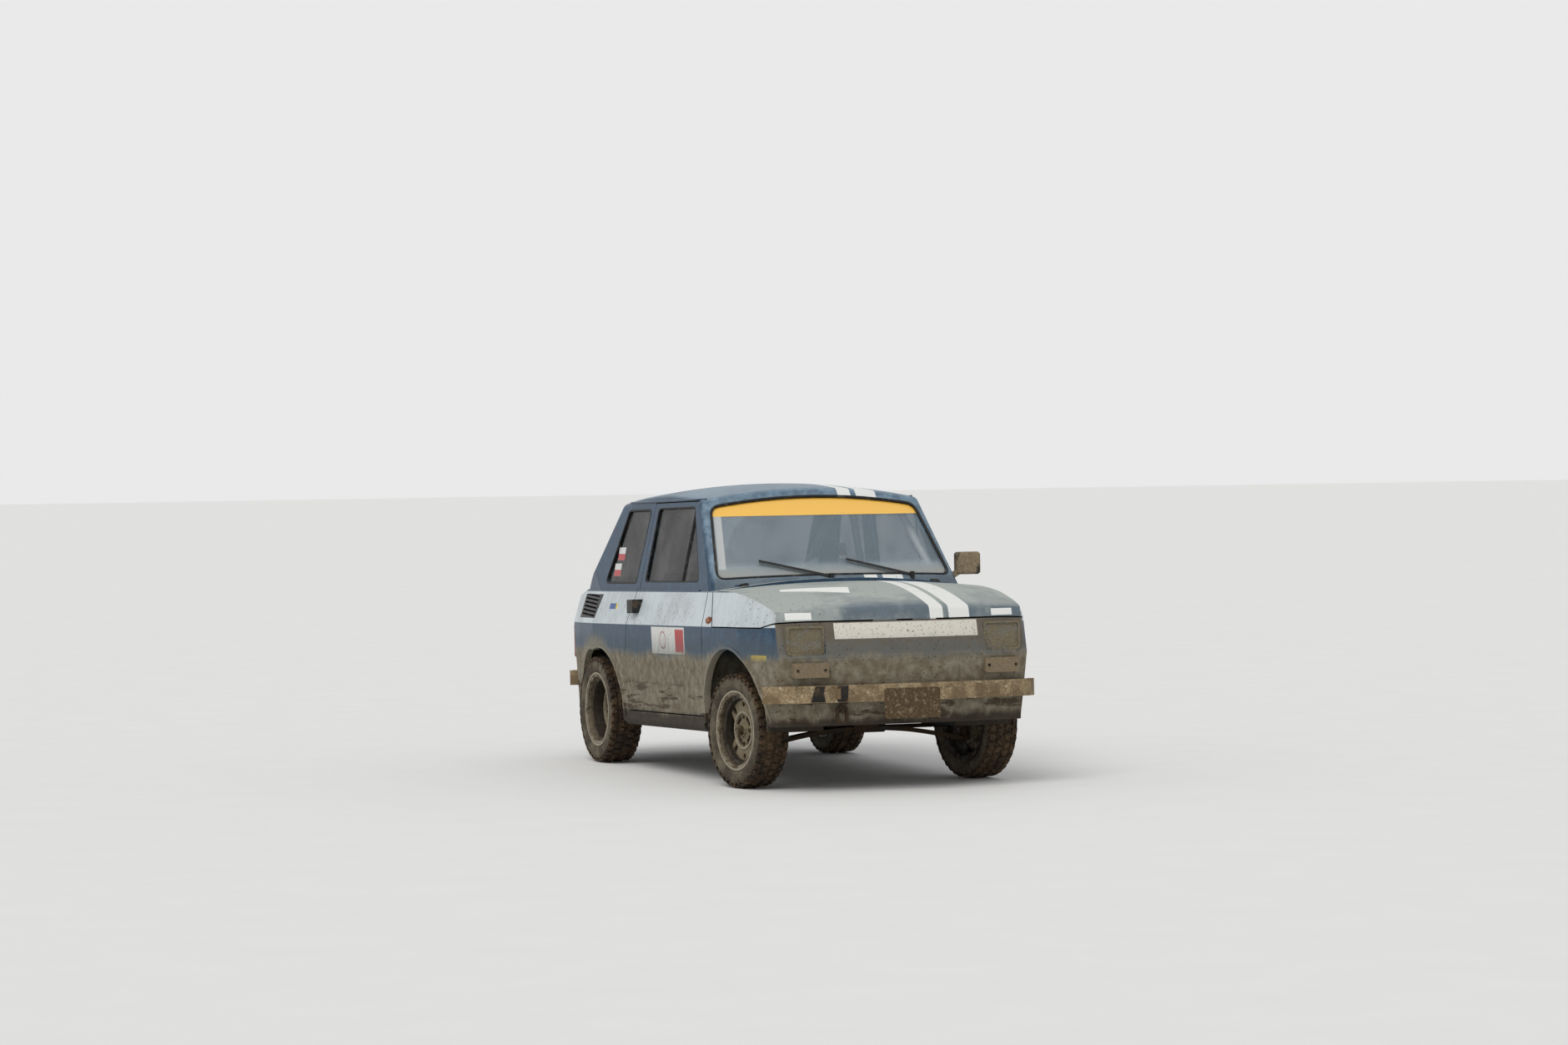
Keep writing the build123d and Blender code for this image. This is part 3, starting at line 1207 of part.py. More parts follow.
for side, name in ((1, "left"), (-1, "right")):
    finish(steered(knuckles[name].part, side), f"knuckle_{name}")
    for axle in ("front", "rear"):
        finish(on_axle(rim(axle), axle, side), f"rim_{axle}_{name}")
        finish(on_axle(tyre(WHEELS[axle]), axle, side), f"tyre_{axle}_{name}")
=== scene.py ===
# %% [markdown]
# # A muddy rally car, dressed for a picture
# The car's shapes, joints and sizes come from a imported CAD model, which is loaded here as a frame that never moves.
# This script adds what the eye looks for: faded paint under dried mud, dusty glass, chunky tyres and small fittings.
# Everything is in metres. +X is the car's left, its nose points to -Y and +Z is up.

# %% Load the frame
import bpy
import bmesh
from math import cos, hypot, pi, radians, sin, sqrt
from mathutils import Matrix, Vector
from mathutils.bvhtree import BVHTree


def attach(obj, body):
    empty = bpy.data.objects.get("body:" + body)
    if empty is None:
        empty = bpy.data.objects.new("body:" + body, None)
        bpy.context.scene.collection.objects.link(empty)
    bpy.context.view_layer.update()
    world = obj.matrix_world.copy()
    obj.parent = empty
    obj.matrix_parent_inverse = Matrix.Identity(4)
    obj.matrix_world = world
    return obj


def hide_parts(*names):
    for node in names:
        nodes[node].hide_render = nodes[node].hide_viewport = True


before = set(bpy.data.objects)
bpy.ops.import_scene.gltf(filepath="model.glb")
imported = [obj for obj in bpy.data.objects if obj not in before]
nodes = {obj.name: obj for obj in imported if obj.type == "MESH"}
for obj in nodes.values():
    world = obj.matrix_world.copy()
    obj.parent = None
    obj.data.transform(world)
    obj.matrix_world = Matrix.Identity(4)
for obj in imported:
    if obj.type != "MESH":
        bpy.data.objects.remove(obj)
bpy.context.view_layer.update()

# %% [markdown]
# The car was drawn level and then tipped nose-up by 1.4 degrees, as it stands in the photograph. Sizes are easier to
# think of in the level drawing, so one helper turns a drawing point in millimetres into a point of the scene.

# %% From the level drawing to the scene
RAKE = radians(1.4)
HALF_WHEELBASE = 920


def at(x, y, z):
    """A point of the level drawing, in millimetres, as a point of the scene in metres."""
    return Vector((x, y * cos(RAKE) + z * sin(RAKE) - HALF_WHEELBASE, z * cos(RAKE) - y * sin(RAKE))) / 1000


print("front axle", at(0, 0, 264))

# %% [markdown]
# The camera stands where the photographer stood: low, in front of the car's right headlamp, with a long lens. Its
# direction is given by a turn, a tilt and a small roll, and the three axes of the view are worked out from them.

# %% Camera
PHOTO_YAW, PHOTO_PITCH, PHOTO_ROLL = radians(21.2255), radians(-1.01), radians(-0.6816)
eye = bpy.data.cameras.new("photo_view")
eye.lens, eye.sensor_width = 96.16, 36
eye.clip_start, eye.clip_end = 0.1, 400
camera = bpy.data.objects.new("photo_view", eye)
bpy.context.scene.collection.objects.link(camera)
ahead = Vector((sin(PHOTO_YAW) * cos(PHOTO_PITCH), cos(PHOTO_YAW) * cos(PHOTO_PITCH), sin(PHOTO_PITCH)))
level = ahead.cross(Vector((0, 0, 1))).normalized()
upward = level.cross(ahead)
across = cos(PHOTO_ROLL) * level + sin(PHOTO_ROLL) * upward
upward = cos(PHOTO_ROLL) * upward - sin(PHOTO_ROLL) * level
turned = Matrix((across, upward, -ahead)).transposed().to_4x4()
camera.matrix_world = Matrix.Translation((-7.332, -18.823, 1.548)) @ turned
bpy.context.scene.camera = camera
bpy.context.scene.view_settings.view_transform = "Standard"
print("camera", [round(v, 2) for v in camera.location])

# %% [markdown]
# ## Nodes as sentences
# A material, the room's light and a Geometry Nodes tree are all webs of nodes, but they read better as sums and
# products. `Wire` wraps one socket, so that `1 - mud` or `dust * streaks` adds the right Math nodes. Colours go
# through a Mix node instead, because a Math node would turn them grey.

# %% A socket that can be added and multiplied


class Wire:
    """One socket of a node tree, with arithmetic."""

    def __init__(self, web, socket):
        self.web, self.socket = web, socket

    def math(self, how, *others):
        return self.web.node("ShaderNodeMath", {"operation": how}, dict(enumerate((self, *others))))

    def __add__(self, other):
        return self.math("ADD", other)

    def __sub__(self, other):
        return self.math("SUBTRACT", other)

    def __mul__(self, other):
        return self.math("MULTIPLY", other)

    def __truediv__(self, other):
        return self.math("DIVIDE", other)

    def __rsub__(self, other):
        return self.web.node("ShaderNodeMath", {"operation": "SUBTRACT"}, {0: other, 1: self})

    __radd__, __rmul__ = __add__, __mul__

    def size(self):
        return self.math("ABSOLUTE")

    def most(self, other):
        return self.math("MAXIMUM", other)

    def ramp(self, low, high):
        """0 at low, 1 at high and smooth between. With high below low it falls instead."""
        sockets = {"Value": self, "From Min": low, "From Max": high}
        return self.web.node("ShaderNodeMapRange", {"interpolation_type": "SMOOTHSTEP"}, sockets)

    def within(self, low, high, soft=0.003):
        """1 between low and high, with soft edges."""
        return self.ramp(low - soft, low + soft) * self.ramp(high + soft, high - soft)


# %% [markdown]
# `Web` is the node tree itself. Its one method adds any node: first the settings, because they decide which sockets a
# node has, then each socket's value or link. Every kind of tree below is a `Web`.

# %% A tree being wired


class Web:
    """A node tree being wired: a material's, the world's or one of Geometry Nodes."""

    def __init__(self, tree):
        self.tree = tree

    def node(self, kind, settings=None, sockets=None, out=0):
        """Any node: its settings first, then the values or links of its sockets."""
        made = self.tree.nodes.new(kind)
        for name, value in (settings or {}).items():
            setattr(made, name, value)
        for name, value in (sockets or {}).items():
            if isinstance(value, Wire):
                self.tree.links.new(value.socket, made.inputs[name])
            else:
                made.inputs[name].default_value = value
        return Wire(self, made.outputs[out]) if made.outputs else None

    def vector(self, x, y, z):
        return self.node("ShaderNodeCombineXYZ", sockets={0: x, 1: y, 2: z})


def apart(a, b, stretch=1.0):
    """How long a step is with sides a and b, the second one stretched."""
    return (a * a + b * b * stretch).math("SQRT")


print("wiring tools ready")

# %% [markdown]
# A photographer would light a car from above with one very large soft lamp, and let a pale room fill the shadows.
# Here the room is the world's colour, and a broad sun gives the bodywork its direction. Rays that go straight from
# the camera, or by way of gloss and glass, see a plain pale backdrop.

# %% The pale room
BACKDROP = 0.82
FILL = 0.62
world = bpy.data.worlds.new("pale_room")
bpy.context.scene.world = world
world.use_nodes = True
world.node_tree.nodes.clear()
room = Web(world.node_tree)
straight = room.node("ShaderNodeLightPath", out="Is Camera Ray")
rays = straight.socket.node.outputs
mirrored, through = Wire(room, rays["Is Glossy Ray"]), Wire(room, rays["Is Transmission Ray"])
fill = room.node("ShaderNodeBackground", sockets={"Color": (0.97, 0.98, 1, 1), "Strength": FILL})
wall = room.node("ShaderNodeBackground", sockets={"Color": (BACKDROP, BACKDROP, BACKDROP, 1)})
choice = room.node("ShaderNodeMixShader", sockets={0: straight.most(mirrored).most(through), 1: fill, 2: wall})
room.node("ShaderNodeOutputWorld", sockets={"Surface": choice})
print("room nodes", len(room.tree.nodes))

# %% The broad lamp
sun = bpy.data.lights.new("broad_sun", "SUN")
sun.energy, sun.angle, sun.color = 1.35, radians(35), (1, 0.98, 0.95)
lamp = bpy.data.objects.new("broad_sun", sun)
lamp.rotation_euler = (radians(38), radians(-12), radians(-32))
bpy.context.scene.collection.objects.link(lamp)
print("sun strength", sun.energy)

# %% [markdown]
# ## A material being wired
# `Look` is a `Web` with a finished surface's shader. It adds short words for what this car needs again and again:
# noise at a scale, spots, a mix of two colours, and a place in the level drawing, so that paint lines run true to the
# body.

# %% A material with short words


def tint(red, green, blue):
    """A colour written as it looks on a screen, 0 to 255, as the linear light that a shader adds up."""
    shares = [v / 255 for v in (red, green, blue)]
    return (*[v / 12.92 if v <= 0.04045 else ((v + 0.055) / 1.055) ** 2.4 for v in shares], 1)


class Look(Web):
    """A material with its surface shader."""

    def __init__(self, name, **surface):
        self.material = bpy.data.materials.new(name)
        self.material.use_nodes = True
        super().__init__(self.material.node_tree)
        self.shader = next(n for n in self.tree.nodes if n.type == "BSDF_PRINCIPLED")
        for socket, value in surface.items():
            self.shader.inputs[socket.replace("_", " ")].default_value = value

    def surface(self, **sockets):
        for name, value in sockets.items():
            self.tree.links.new(value.socket, self.shader.inputs[name.replace("_", " ")])
        return self

    def own(self):
        return self.node("ShaderNodeTexCoord", out="Object")

    def parted(self, vector):
        """The x, y and z of a vector."""
        return [Wire(self, s) for s in self.node("ShaderNodeSeparateXYZ", sockets={0: vector}).socket.node.outputs]

    def place(self):
        """The level drawing's x, y and z at this point, in metres."""
        x, y, z = self.parted(self.own())
        y = y + HALF_WHEELBASE / 1000
        return x, y * cos(RAKE) - z * sin(RAKE), z * cos(RAKE) + y * sin(RAKE)

    def facing(self):
        """The way the surface faces, in the piece's own coordinates."""
        return self.node("ShaderNodeTexCoord", out="Normal")

    def dot(self, one, other):
        return self.node("ShaderNodeVectorMath", {"operation": "DOT_PRODUCT"}, {0: one, 1: other}, out="Value")

    def noise(self, scale, detail=4, rough=0.55, where=None):
        sockets = {"Vector": where or self.own(), "Scale": scale, "Detail": detail, "Roughness": rough}
        return self.node("ShaderNodeTexNoise", sockets=sockets)

    def spots(self, scale, radius):
        """Small round spots, one in each cell of a random pattern."""
        cells = self.node("ShaderNodeTexVoronoi", sockets={"Vector": self.own(), "Scale": scale})
        return cells.ramp(radius, radius * 0.55)

    def mix(self, share, base, over):
        """Colour over a base colour, by a share from 0 to 1."""
        return self.node("ShaderNodeMix", {"data_type": "RGBA"}, {0: share, 6: base, 7: over}, out=2)

    def bump(self, height, distance=0.002, strength=0.6):
        return self.node("ShaderNodeBump", sockets={"Height": height, "Distance": distance, "Strength": strength})


def wear(node_names, look):
    """Give CAD nodes a finish."""
    for name in node_names:
        mesh = nodes[name].data
        mesh.materials.clear()
        mesh.materials.append(look.material)


print("a linear middle grey", [round(v, 3) for v in tint(128, 128, 128)[:3]])

# %% [markdown]
# ## The body's paint
# The car was painted dark blue, with a white band round its waist between two pressed creases, and two white stripes
# over bonnet and roof. The band's colour is partly a painted sky reflection on its upward-leaning face. Years of
# stages have dulled the blue. Dried mud covers everything below the lower crease, and a thin grey film lies on what
# faces up; the pale blue on the roof is partly that film and partly a painted sky reflection. All of it is one
# material that asks where on the car it is, so colours meet across panel gaps.

# %% Colours of paint and mud
BLUE = tint(25, 55, 80)
BLUE_WORN = tint(60, 96, 121)
BLUE_DUSTY = tint(84, 92, 94)
# The waist band's white, with a painted sky reflection in it.
WAIST_WHITE_AND_SKY_SHEEN = tint(194, 203, 207)
FILM = tint(168, 174, 169)
# Pale blue for the roof and the pillars' fronts: partly dust film, partly a painted sky reflection.
SKY_SHEEN_AND_FILM = tint(128, 152, 169)
MUD = tint(106, 95, 76)
MUD_PALE = tint(138, 132, 115)
MUD_WET = tint(60, 47, 33)
BOTTOM_DARK = tint(40, 31, 23)
STRIPE = tint(232, 233, 229)
# Dark grey for the insides of panels: partly trim, partly painted shade.
TRIM_AND_INNER_SHADE = tint(38, 39, 41)
RED = tint(176, 46, 48)
YELLOW = tint(226, 196, 40)
print("blue", [round(v, 3) for v in BLUE[:3]])

# %% [markdown]
# The paint is laid on coat by coat, as a painter would and as the weather did. The class measures once what every
# coat asks about: the place, the way the sheet faces, and four noises from clouds to fine grain.

# %% Paint that takes coats


class Paintwork(Look):
    """A look whose colour is laid on coat by coat."""

    def __init__(self, name, **surface):
        super().__init__(name, **surface)
        self.x, self.y, self.z = self.place()
        self.nx, self.ny, self.nz = self.parted(self.facing())
        self.width = self.x.size()
        self.streaks = self.noise(1, 3, 0.6, where=self.vector(self.x * 34, self.y * 34, self.z * 2.2))
        self.cloud = self.noise(3.2, 5, 0.6)
        self.grain = self.noise(95, 4, 0.7)
        self.fine = self.noise(22, 5, 0.65)
        self.colour = None

    def coat(self, share, over):
        self.colour = self.mix(share, self.colour, over)


def patch(along, up, span, height, soft=0.002):
    """A rectangle between two pairs of limits."""
    return along.within(*span, soft) * up.within(*height, soft)


print("paint tools ready")

# %% Blue, the white band and the grey film
BAND = (0.7365, 0.8935)
BROW = (0.757, 0.83)
NOSE_END = (-0.4, -0.45)
STRIPES = ((0.125, 0.192), (0.22, 0.325))


def factory_paint(p):
    """Worn blue, the band between the creases, the film on what faces up, and two stripes on the car's left.
    The band's white and the pale blue on roof and pillars are partly painted sky reflection.
    """
    y, z, ny, nz, cloud, fine = p.y, p.z, p.ny, p.nz, p.cloud, p.fine
    p.colour = p.mix((fine * 0.7 + p.grain * 0.3).ramp(0.46, 0.66) * 0.5, BLUE, BLUE_WORN)
    flank = p.nx.size().ramp(0.5, 0.6)
    # The white band's pale, bluish colour is partly a painted sky reflection on its upward-leaning face.
    band = flank * z.within(*BAND, 0.0015) * y.ramp(-0.535, -0.525)
    band = band * (1 - (p.grain * 0.5 + fine * 0.5).ramp(0.62, 0.7) * 0.7)
    soiled = (cloud * 0.6 + p.streaks * 0.4).ramp(0.42, 0.64) * 0.75
    p.coat(band, p.mix(soiled, WAIST_WHITE_AND_SKY_SHEEN, tint(168, 176, 178)))
    # the bonnet, the cowl and the bonnet's front edge
    shelf = nz.ramp(0.55, 0.85) * z.ramp(0.70, 0.76) * y.ramp(0.62, 0.5) * z.ramp(1.03, 0.99)
    haze = shelf * (y.ramp(-0.56, -0.40) * 0.8 + cloud.ramp(0.35, 0.6) * 0.5) * (0.62 + fine * 0.6)
    brow = ny.ramp(-0.3, -0.6) * z.within(*BROW) * y.ramp(*NOSE_END)
    haze = haze.most(brow * (0.25 + cloud.ramp(0.4, 0.62) * 0.6)).math("MINIMUM", 0.95)
    p.coat(haze, FILM)
    # On the roof and on the forward-facing pillars, a pale blue that is partly dust film and partly a painted sky
    # reflection.
    sheen_and_film_share = 0.25 + cloud.ramp(0.35, 0.65) * 0.3 + fine.ramp(0.35, 0.65) * 0.25
    p.coat(nz.ramp(0.6, 0.95) * z.ramp(1.2, 1.3) * sheen_and_film_share, SKY_SHEEN_AND_FILM)
    p.coat(ny.ramp(-0.2, -0.6) * z.ramp(0.93, 0.99) * (0.35 + fine.ramp(0.35, 0.65) * 0.4), SKY_SHEEN_AND_FILM)
    narrow, broad = (p.x.within(*span, 0.0015) for span in STRIPES)
    stripes = narrow.most(broad) * nz.ramp(0.3, 0.45).most(brow)
    p.coat(stripes * z.ramp(0.74, 0.75) * (1 - fine.ramp(0.62, 0.74) * 0.55) * 0.92, STRIPE)
    return flank, haze


print("band is", round(BAND[1] - BAND[0], 3), "m high")

# %% [markdown]
# Boards, labels and stuck-on strips are rectangles and a ring in the level drawing. They show on the faces that look
# the right way, so a board on the door doesn't print through to the other side of a panel. The names and pictures
# that such places carry are left out.

# %% Marks on the sides
DOOR_BOARD = ((0.503, 0.955), (0.602, 0.729))
BOARD_RED = ((0.515, 0.629), (0.612, 0.719))
RING_AT, RING_RADII = (0.8, 0.667), (0.036, 0.042)
WING_LABEL = ((-0.425, -0.29), (0.586, 0.612))
REAR_LABEL = ((1.52, 1.64), (0.808, 0.836))
REAR_LABEL_END = ((1.52, 1.545), (0.808, 0.836))


def side_marks(p, worn):
    """The door boards and small labels on both sides."""
    y, z = p.y, p.z
    side = p.nx.size().ramp(0.7, 0.8)
    board = patch(y, z, *DOOR_BOARD) * side * worn
    p.coat(board, tint(212, 211, 207))
    p.coat(board * patch(y, z, *BOARD_RED, soft=0.003), RED)
    p.coat(board * apart(y - RING_AT[0], z - RING_AT[1]).within(*RING_RADII, 0.001), tint(150, 70, 72))
    p.coat(patch(y, z, *WING_LABEL) * side * worn, YELLOW)
    p.coat(patch(y, z, *REAR_LABEL) * side * worn, tint(40, 84, 140))
    p.coat(patch(y, z, *REAR_LABEL_END) * side, YELLOW)


print("door board", round(DOOR_BOARD[0][1] - DOOR_BOARD[0][0], 3), "m long")

# %% Marks on the nose and bonnet
NOSE_BAND = ((-0.343, 0.358), (0.679, 0.752))
CORNER_LABELS = (((-0.56, -0.44), (0.768, 0.80)), ((0.44, 0.55), (0.768, 0.798)))
NOSE_LABEL = ((0.262, 0.334), (0.538, 0.578))
STRIP_FROM, STRIP_RUN = (-0.442, -0.122), (0.299, -0.099)


def nose_marks(p, worn):
    """The nose's white band, corner labels, the bonnet's slanted strip, and grey mud over the rest of the nose,
    with a painted highlight on the crease below the lamps and a painted shadow under the bumper.
    """
    x, y, z, fine = p.x, p.y, p.z, p.fine
    ahead_face = p.ny.ramp(-0.7, -0.8)
    band = patch(x, z, *NOSE_BAND) * ahead_face * y.ramp(*NOSE_END)
    speckle = p.spots(70, 0.3).most(p.spots(34, 0.22)) * 0.6 + fine.ramp(0.55, 0.75) * 0.4
    p.coat(band, p.mix(speckle, tint(212, 208, 196), tint(150, 138, 116)))
    right, left = (patch(x, z, *label) for label in CORNER_LABELS)
    p.coat(right.most(left) * p.ny.ramp(-0.5, -0.6) * y.ramp(*NOSE_END) * worn, STRIPE)
    length = hypot(*STRIP_RUN)
    run_x, run_y = (v / length for v in STRIP_RUN)
    from_x, from_y = x - STRIP_FROM[0], y - STRIP_FROM[1]
    along = from_x * run_x + from_y * run_y
    beside = from_x * -run_y + from_y * run_x
    wedge = (beside.size() - along * 0.13).ramp(0.03, 0.026)
    strip = along.within(0, length, 0.002) * wedge * p.nz.ramp(0.7, 0.8) * worn
    p.coat(strip * z.ramp(0.8, 0.81), STRIPE)
    label = patch(x, z, *NOSE_LABEL) * ahead_face
    p.coat(label * 0.8, tint(176, 138, 124))
    nose = ahead_face * y.ramp(*NOSE_END) * z.ramp(0.765, 0.755)
    cake = (nose * (1 - band) * (1 - label * 0.8) * (0.82 + fine * 0.3)).math("MINIMUM", 0.97)
    shade = p.mix(fine.ramp(0.4, 0.65), tint(97, 90, 78), tint(90, 80, 62))
    blots = p.noise(1, 5, 0.65, where=p.vector(x * 9, y * 4, z * 16)).ramp(0.54, 0.6)
    # Below the crease the nose is darker in blots: mud, and painted shade of the recessed lower part.
    shade = p.mix(blots * z.ramp(0.6, 0.57) * 0.7, shade, tint(58, 48, 36))
    # A pale line along the crease below the lamps is a painted highlight.
    shade = p.mix(z.within(0.588, 0.594) * 0.5, shade, tint(150, 142, 126))
    # Darker brown below the bumper is a painted shadow cast by the bar, in a mud colour.
    shade = p.mix(z.ramp(0.41, 0.36) * 0.75, shade, tint(66, 52, 36))
    p.coat(cake, shade)


print("strip on the bonnet", round(hypot(*STRIP_RUN), 3), "m long")

# %% [markdown]
# Mud starts at a wavy line below the lower crease, is thrown up in rings round the wheels, and runs down in streaks.
# The colour is darkest along the sill. The insides of panels get plain dark grey instead, partly trim and partly
# painted shade, with the same dirt below.

# %% Dust and mud
MUD_LINE = (0.625, 0.575)
WHEEL_CENTRES = ((-0.006, 0.264), (1.833, 0.309))
THROW = (0.41, 0.33)


def dirt(p, flank):
    """Dust, mud, splashes and specks. Gives back the four masks that also change how the surface shines."""
    x, y, z, cloud, fine, streaks = p.x, p.y, p.z, p.cloud, p.fine, p.streaks
    dust = z.ramp(0.80, 0.60) * (0.35 + streaks * 0.55 + cloud * 0.25)
    p.coat(dust.ramp(0.2, 1.25) * 0.9 * (1 - flank * z.ramp(0.735, 0.74)), BLUE_DUSTY)
    crest = z + (cloud - 0.5) * 0.09 + (streaks - 0.5) * 0.05
    mud = crest.ramp(*MUD_LINE)
    p.coat(mud * 0.94, p.mix(fine.ramp(0.35, 0.7), MUD, MUD_PALE))
    front, rear = ((apart(y - hub_y, z - hub_z) + (fine - 0.5) * 0.08).ramp(*THROW) * p.width.ramp(0.58, 0.6)
                   for hub_y, hub_z in WHEEL_CENTRES)
    splash = front.most(rear)
    p.coat(splash * 0.75, MUD_PALE)
    smears = p.noise(1, 5, 0.6, where=p.vector(x * 6, y * 2.8, z * 21)).ramp(0.535, 0.6)
    p.coat(smears * (z.ramp(0.5, 0.43) * z.ramp(0.27, 0.32)) * 0.85, MUD_WET)
    runs = p.noise(1, 3, 0.6, where=p.vector(x * 60, y * 60, z * 3)).ramp(0.56, 0.7)
    p.coat(runs * mud * 0.4, MUD_PALE)
    # Darkest along the bottom, by the sill.
    p.coat(crest.ramp(0.345, 0.30) * 0.9, BOTTOM_DARK)
    specks = p.spots(42, 0.2) * cloud.ramp(0.44, 0.56) * z.ramp(1.0, 0.82)
    p.coat(specks * 0.6, MUD_WET)
    return dust, mud, splash, specks


def trim_and_shade_inside(p):
    """Plain dark grey where a panel faces into the car: partly trim and partly painted shade inside the car."""
    inward = (p.x * p.nx).ramp(-0.02, -0.12).most((p.nz * p.z.ramp(0.9, 1.2)).ramp(-0.3, -0.6))
    ends = (p.ny * (p.y - 1)).ramp(-0.3, -0.8) * p.z.ramp(0.9, 0.6) * p.width.ramp(0.56, 0.52)
    p.coat(inward.most(ends), p.mix(p.fine, TRIM_AND_INNER_SHADE, tint(54, 54, 53)))


print("mud line at", MUD_LINE[0], "m")

# %% Paint the body
body_paint = Paintwork("body_paint", Roughness=0.5, Specular_IOR_Level=0.4)
flank, haze = factory_paint(body_paint)
worn = 1 - body_paint.fine.ramp(0.66, 0.74) * 0.5
side_marks(body_paint, worn)
nose_marks(body_paint, worn)
dust, mud, splash, specks = dirt(body_paint, flank)
trim_and_shade_inside(body_paint)
matt = mud.most(haze).most(dust.ramp(0.3, 1) * 0.6).most(splash)
relief = body_paint.fine * mud * 1.4 + specks * 1.2 + body_paint.grain * (mud + splash) * 0.6
body_paint.surface(Base_Color=body_paint.colour, Roughness=0.34 + matt * 0.5 + body_paint.fine * 0.1,
                   Normal=body_paint.bump(relief, 0.004, 0.7))
PANELS = [n for n in nodes if n.startswith(("front_wing", "side_frame")) or n in (
    "floor_pan", "nose_panel", "tail_panel", "bonnet", "engine_lid", "door_left", "door_right", "windscreen_frame",
    "roof_panel")]
wear(PANELS, body_paint)
print("painted", len(PANELS), "panels with", len(body_paint.tree.nodes), "nodes")

# %% [markdown]
# ## Glass
# Real glass lets most light through and mirrors the sky at a glance. The windscreen's pale blue is also a painted sky
# reflection, and the dark side glass is partly tint and partly painted shade of the cabin. Dust lies on the
# windscreen outside the wipers' sweep, thickest along its foot. Mixing a clear and a dusty surface by a mask gives
# both, and stays quick to render.

# %% Window glass
WIPER_FANS = ((-0.042, 0.5), (0.376, 0.47))
WIPER_Z = 0.92


def window(name, clear, tint_and_light_cover, marks_on_glass, low_edge=None, gloss=0.9):
    """Glass under a thin dust, over an even colour: clear is that colour, partly tint and partly painted light,
    spread at the given share.
    """
    look = Look(name, Specular_IOR_Level=gloss)
    x, y, z = look.place()
    dust = look.noise(5, 5, 0.6).ramp(0.4, 0.75) * 0.2 + look.noise(40, 3, 0.7).ramp(0.5, 0.8) * 0.08
    if low_edge:
        left, right = (apart(x - pivot, z - WIPER_Z, 1.4).within(0.15, reach, 0.008) * z.ramp(1.0, 1.02)
                       for pivot, reach in WIPER_FANS)
        dust = (dust + 0.1) * (1 - left.most(right) * 0.8) + z.ramp(low_edge + 0.07, low_edge) * 0.7
    dust = dust.math("MINIMUM", 1)
    colour = look.mix(dust, clear, tint(150, 152, 146))
    alpha = (dust * 0.8 + tint_and_light_cover).math("MINIMUM", 0.97)
    for shape, paint, cover in marks_on_glass(x, y, z):
        colour = look.mix(shape, colour, paint)
        alpha = alpha.most(shape * cover)
    return look.surface(Base_Color=colour, Alpha=alpha, Roughness=0.05 + dust * 0.6)


print("wiper fans", len(WIPER_FANS))

# %% Stickers and a pale strip on the glass
BANNER_FOOT = 1.245
QUARTER_LABELS = (((1.6, 1.7), (1.047, 1.11)), ((1.632, 1.73), (0.969, 1.031)))


def screen_banner_and_strip(x, y, z):
    """A plain yellow banner over the top, and a white strip down the car's right edge."""
    edge = (z - 0.95) * (-0.069 / 0.34) + 0.588 + x
    return [(edge.within(0.014, 0.05) * z.ramp(0.99, 1.0), tint(196, 200, 200), 0.8),
            (z.ramp(BANNER_FOOT - 0.001, BANNER_FOOT + 0.001), tint(244, 190, 76), 1.0)]


def side_stickers(x, y, z):
    """Two small two-coloured labels on each quarter window."""
    found = []
    for span, (low, high) in QUARTER_LABELS:
        found.append((patch(y, z, span, (low, high)), tint(206, 208, 206), 1.0))
        found.append((patch(y, z, span, (low, (low + high) / 2)), RED, 1.0))
    return found


# The windscreen's pale blue colour is a painted sky reflection.
screen_glass = window("screen_glass", tint(166, 186, 200), 0.19, screen_banner_and_strip, low_edge=0.965)
# The side glass's dark colour at this share is partly real tint and partly painted shade of the cabin behind it.
side_glass = window("side_glass", tint(14, 20, 18), 0.62, side_stickers, gloss=0.25)
wear(["windscreen"], screen_glass)
wear(["rear_window", "quarter_windows", "door_glass_left", "door_glass_right"], side_glass)
print("glass ready")

# %% [markdown]
# ## Lamps, bumpers and dark parts
# The lamps look out through a patchy crust of mud. Bumpers were grey plastic and are now stony mud. Black plastic,
# steel and castings below carry splashes that follow a noise.

# %% Muddy hard surfaces


def caked(name, base, crust, share, roughness=0.55, metallic=0.0, scale=14, stones=0.0):
    """A plain surface under patches of dried mud."""
    look = Look(name, Metallic=metallic, Specular_IOR_Level=0.35)
    broad, fine = look.noise(scale, 5, 0.62), look.noise(scale * 7, 4, 0.7)
    cover = (broad * 0.75 + fine * 0.25).ramp(0.62 - share * 0.3, 0.7 - share * 0.3)
    crusted = look.mix(fine.ramp(0.35, 0.65), crust, (*[v * 0.55 for v in crust[:3]], 1))
    if stones:
        grit = look.spots(30, 0.25).most(look.spots(75, 0.3)) * broad.ramp(0.38, 0.55)
        crusted = look.mix(grit * stones, crusted, tint(190, 176, 150))
        fine = fine + grit * 0.7
    colour = look.mix(cover, base, crusted)
    return look.surface(Base_Color=colour, Roughness=roughness + cover * (0.92 - roughness),
                        Normal=look.bump(fine * cover + broad * 0.4, 0.003, 0.7))


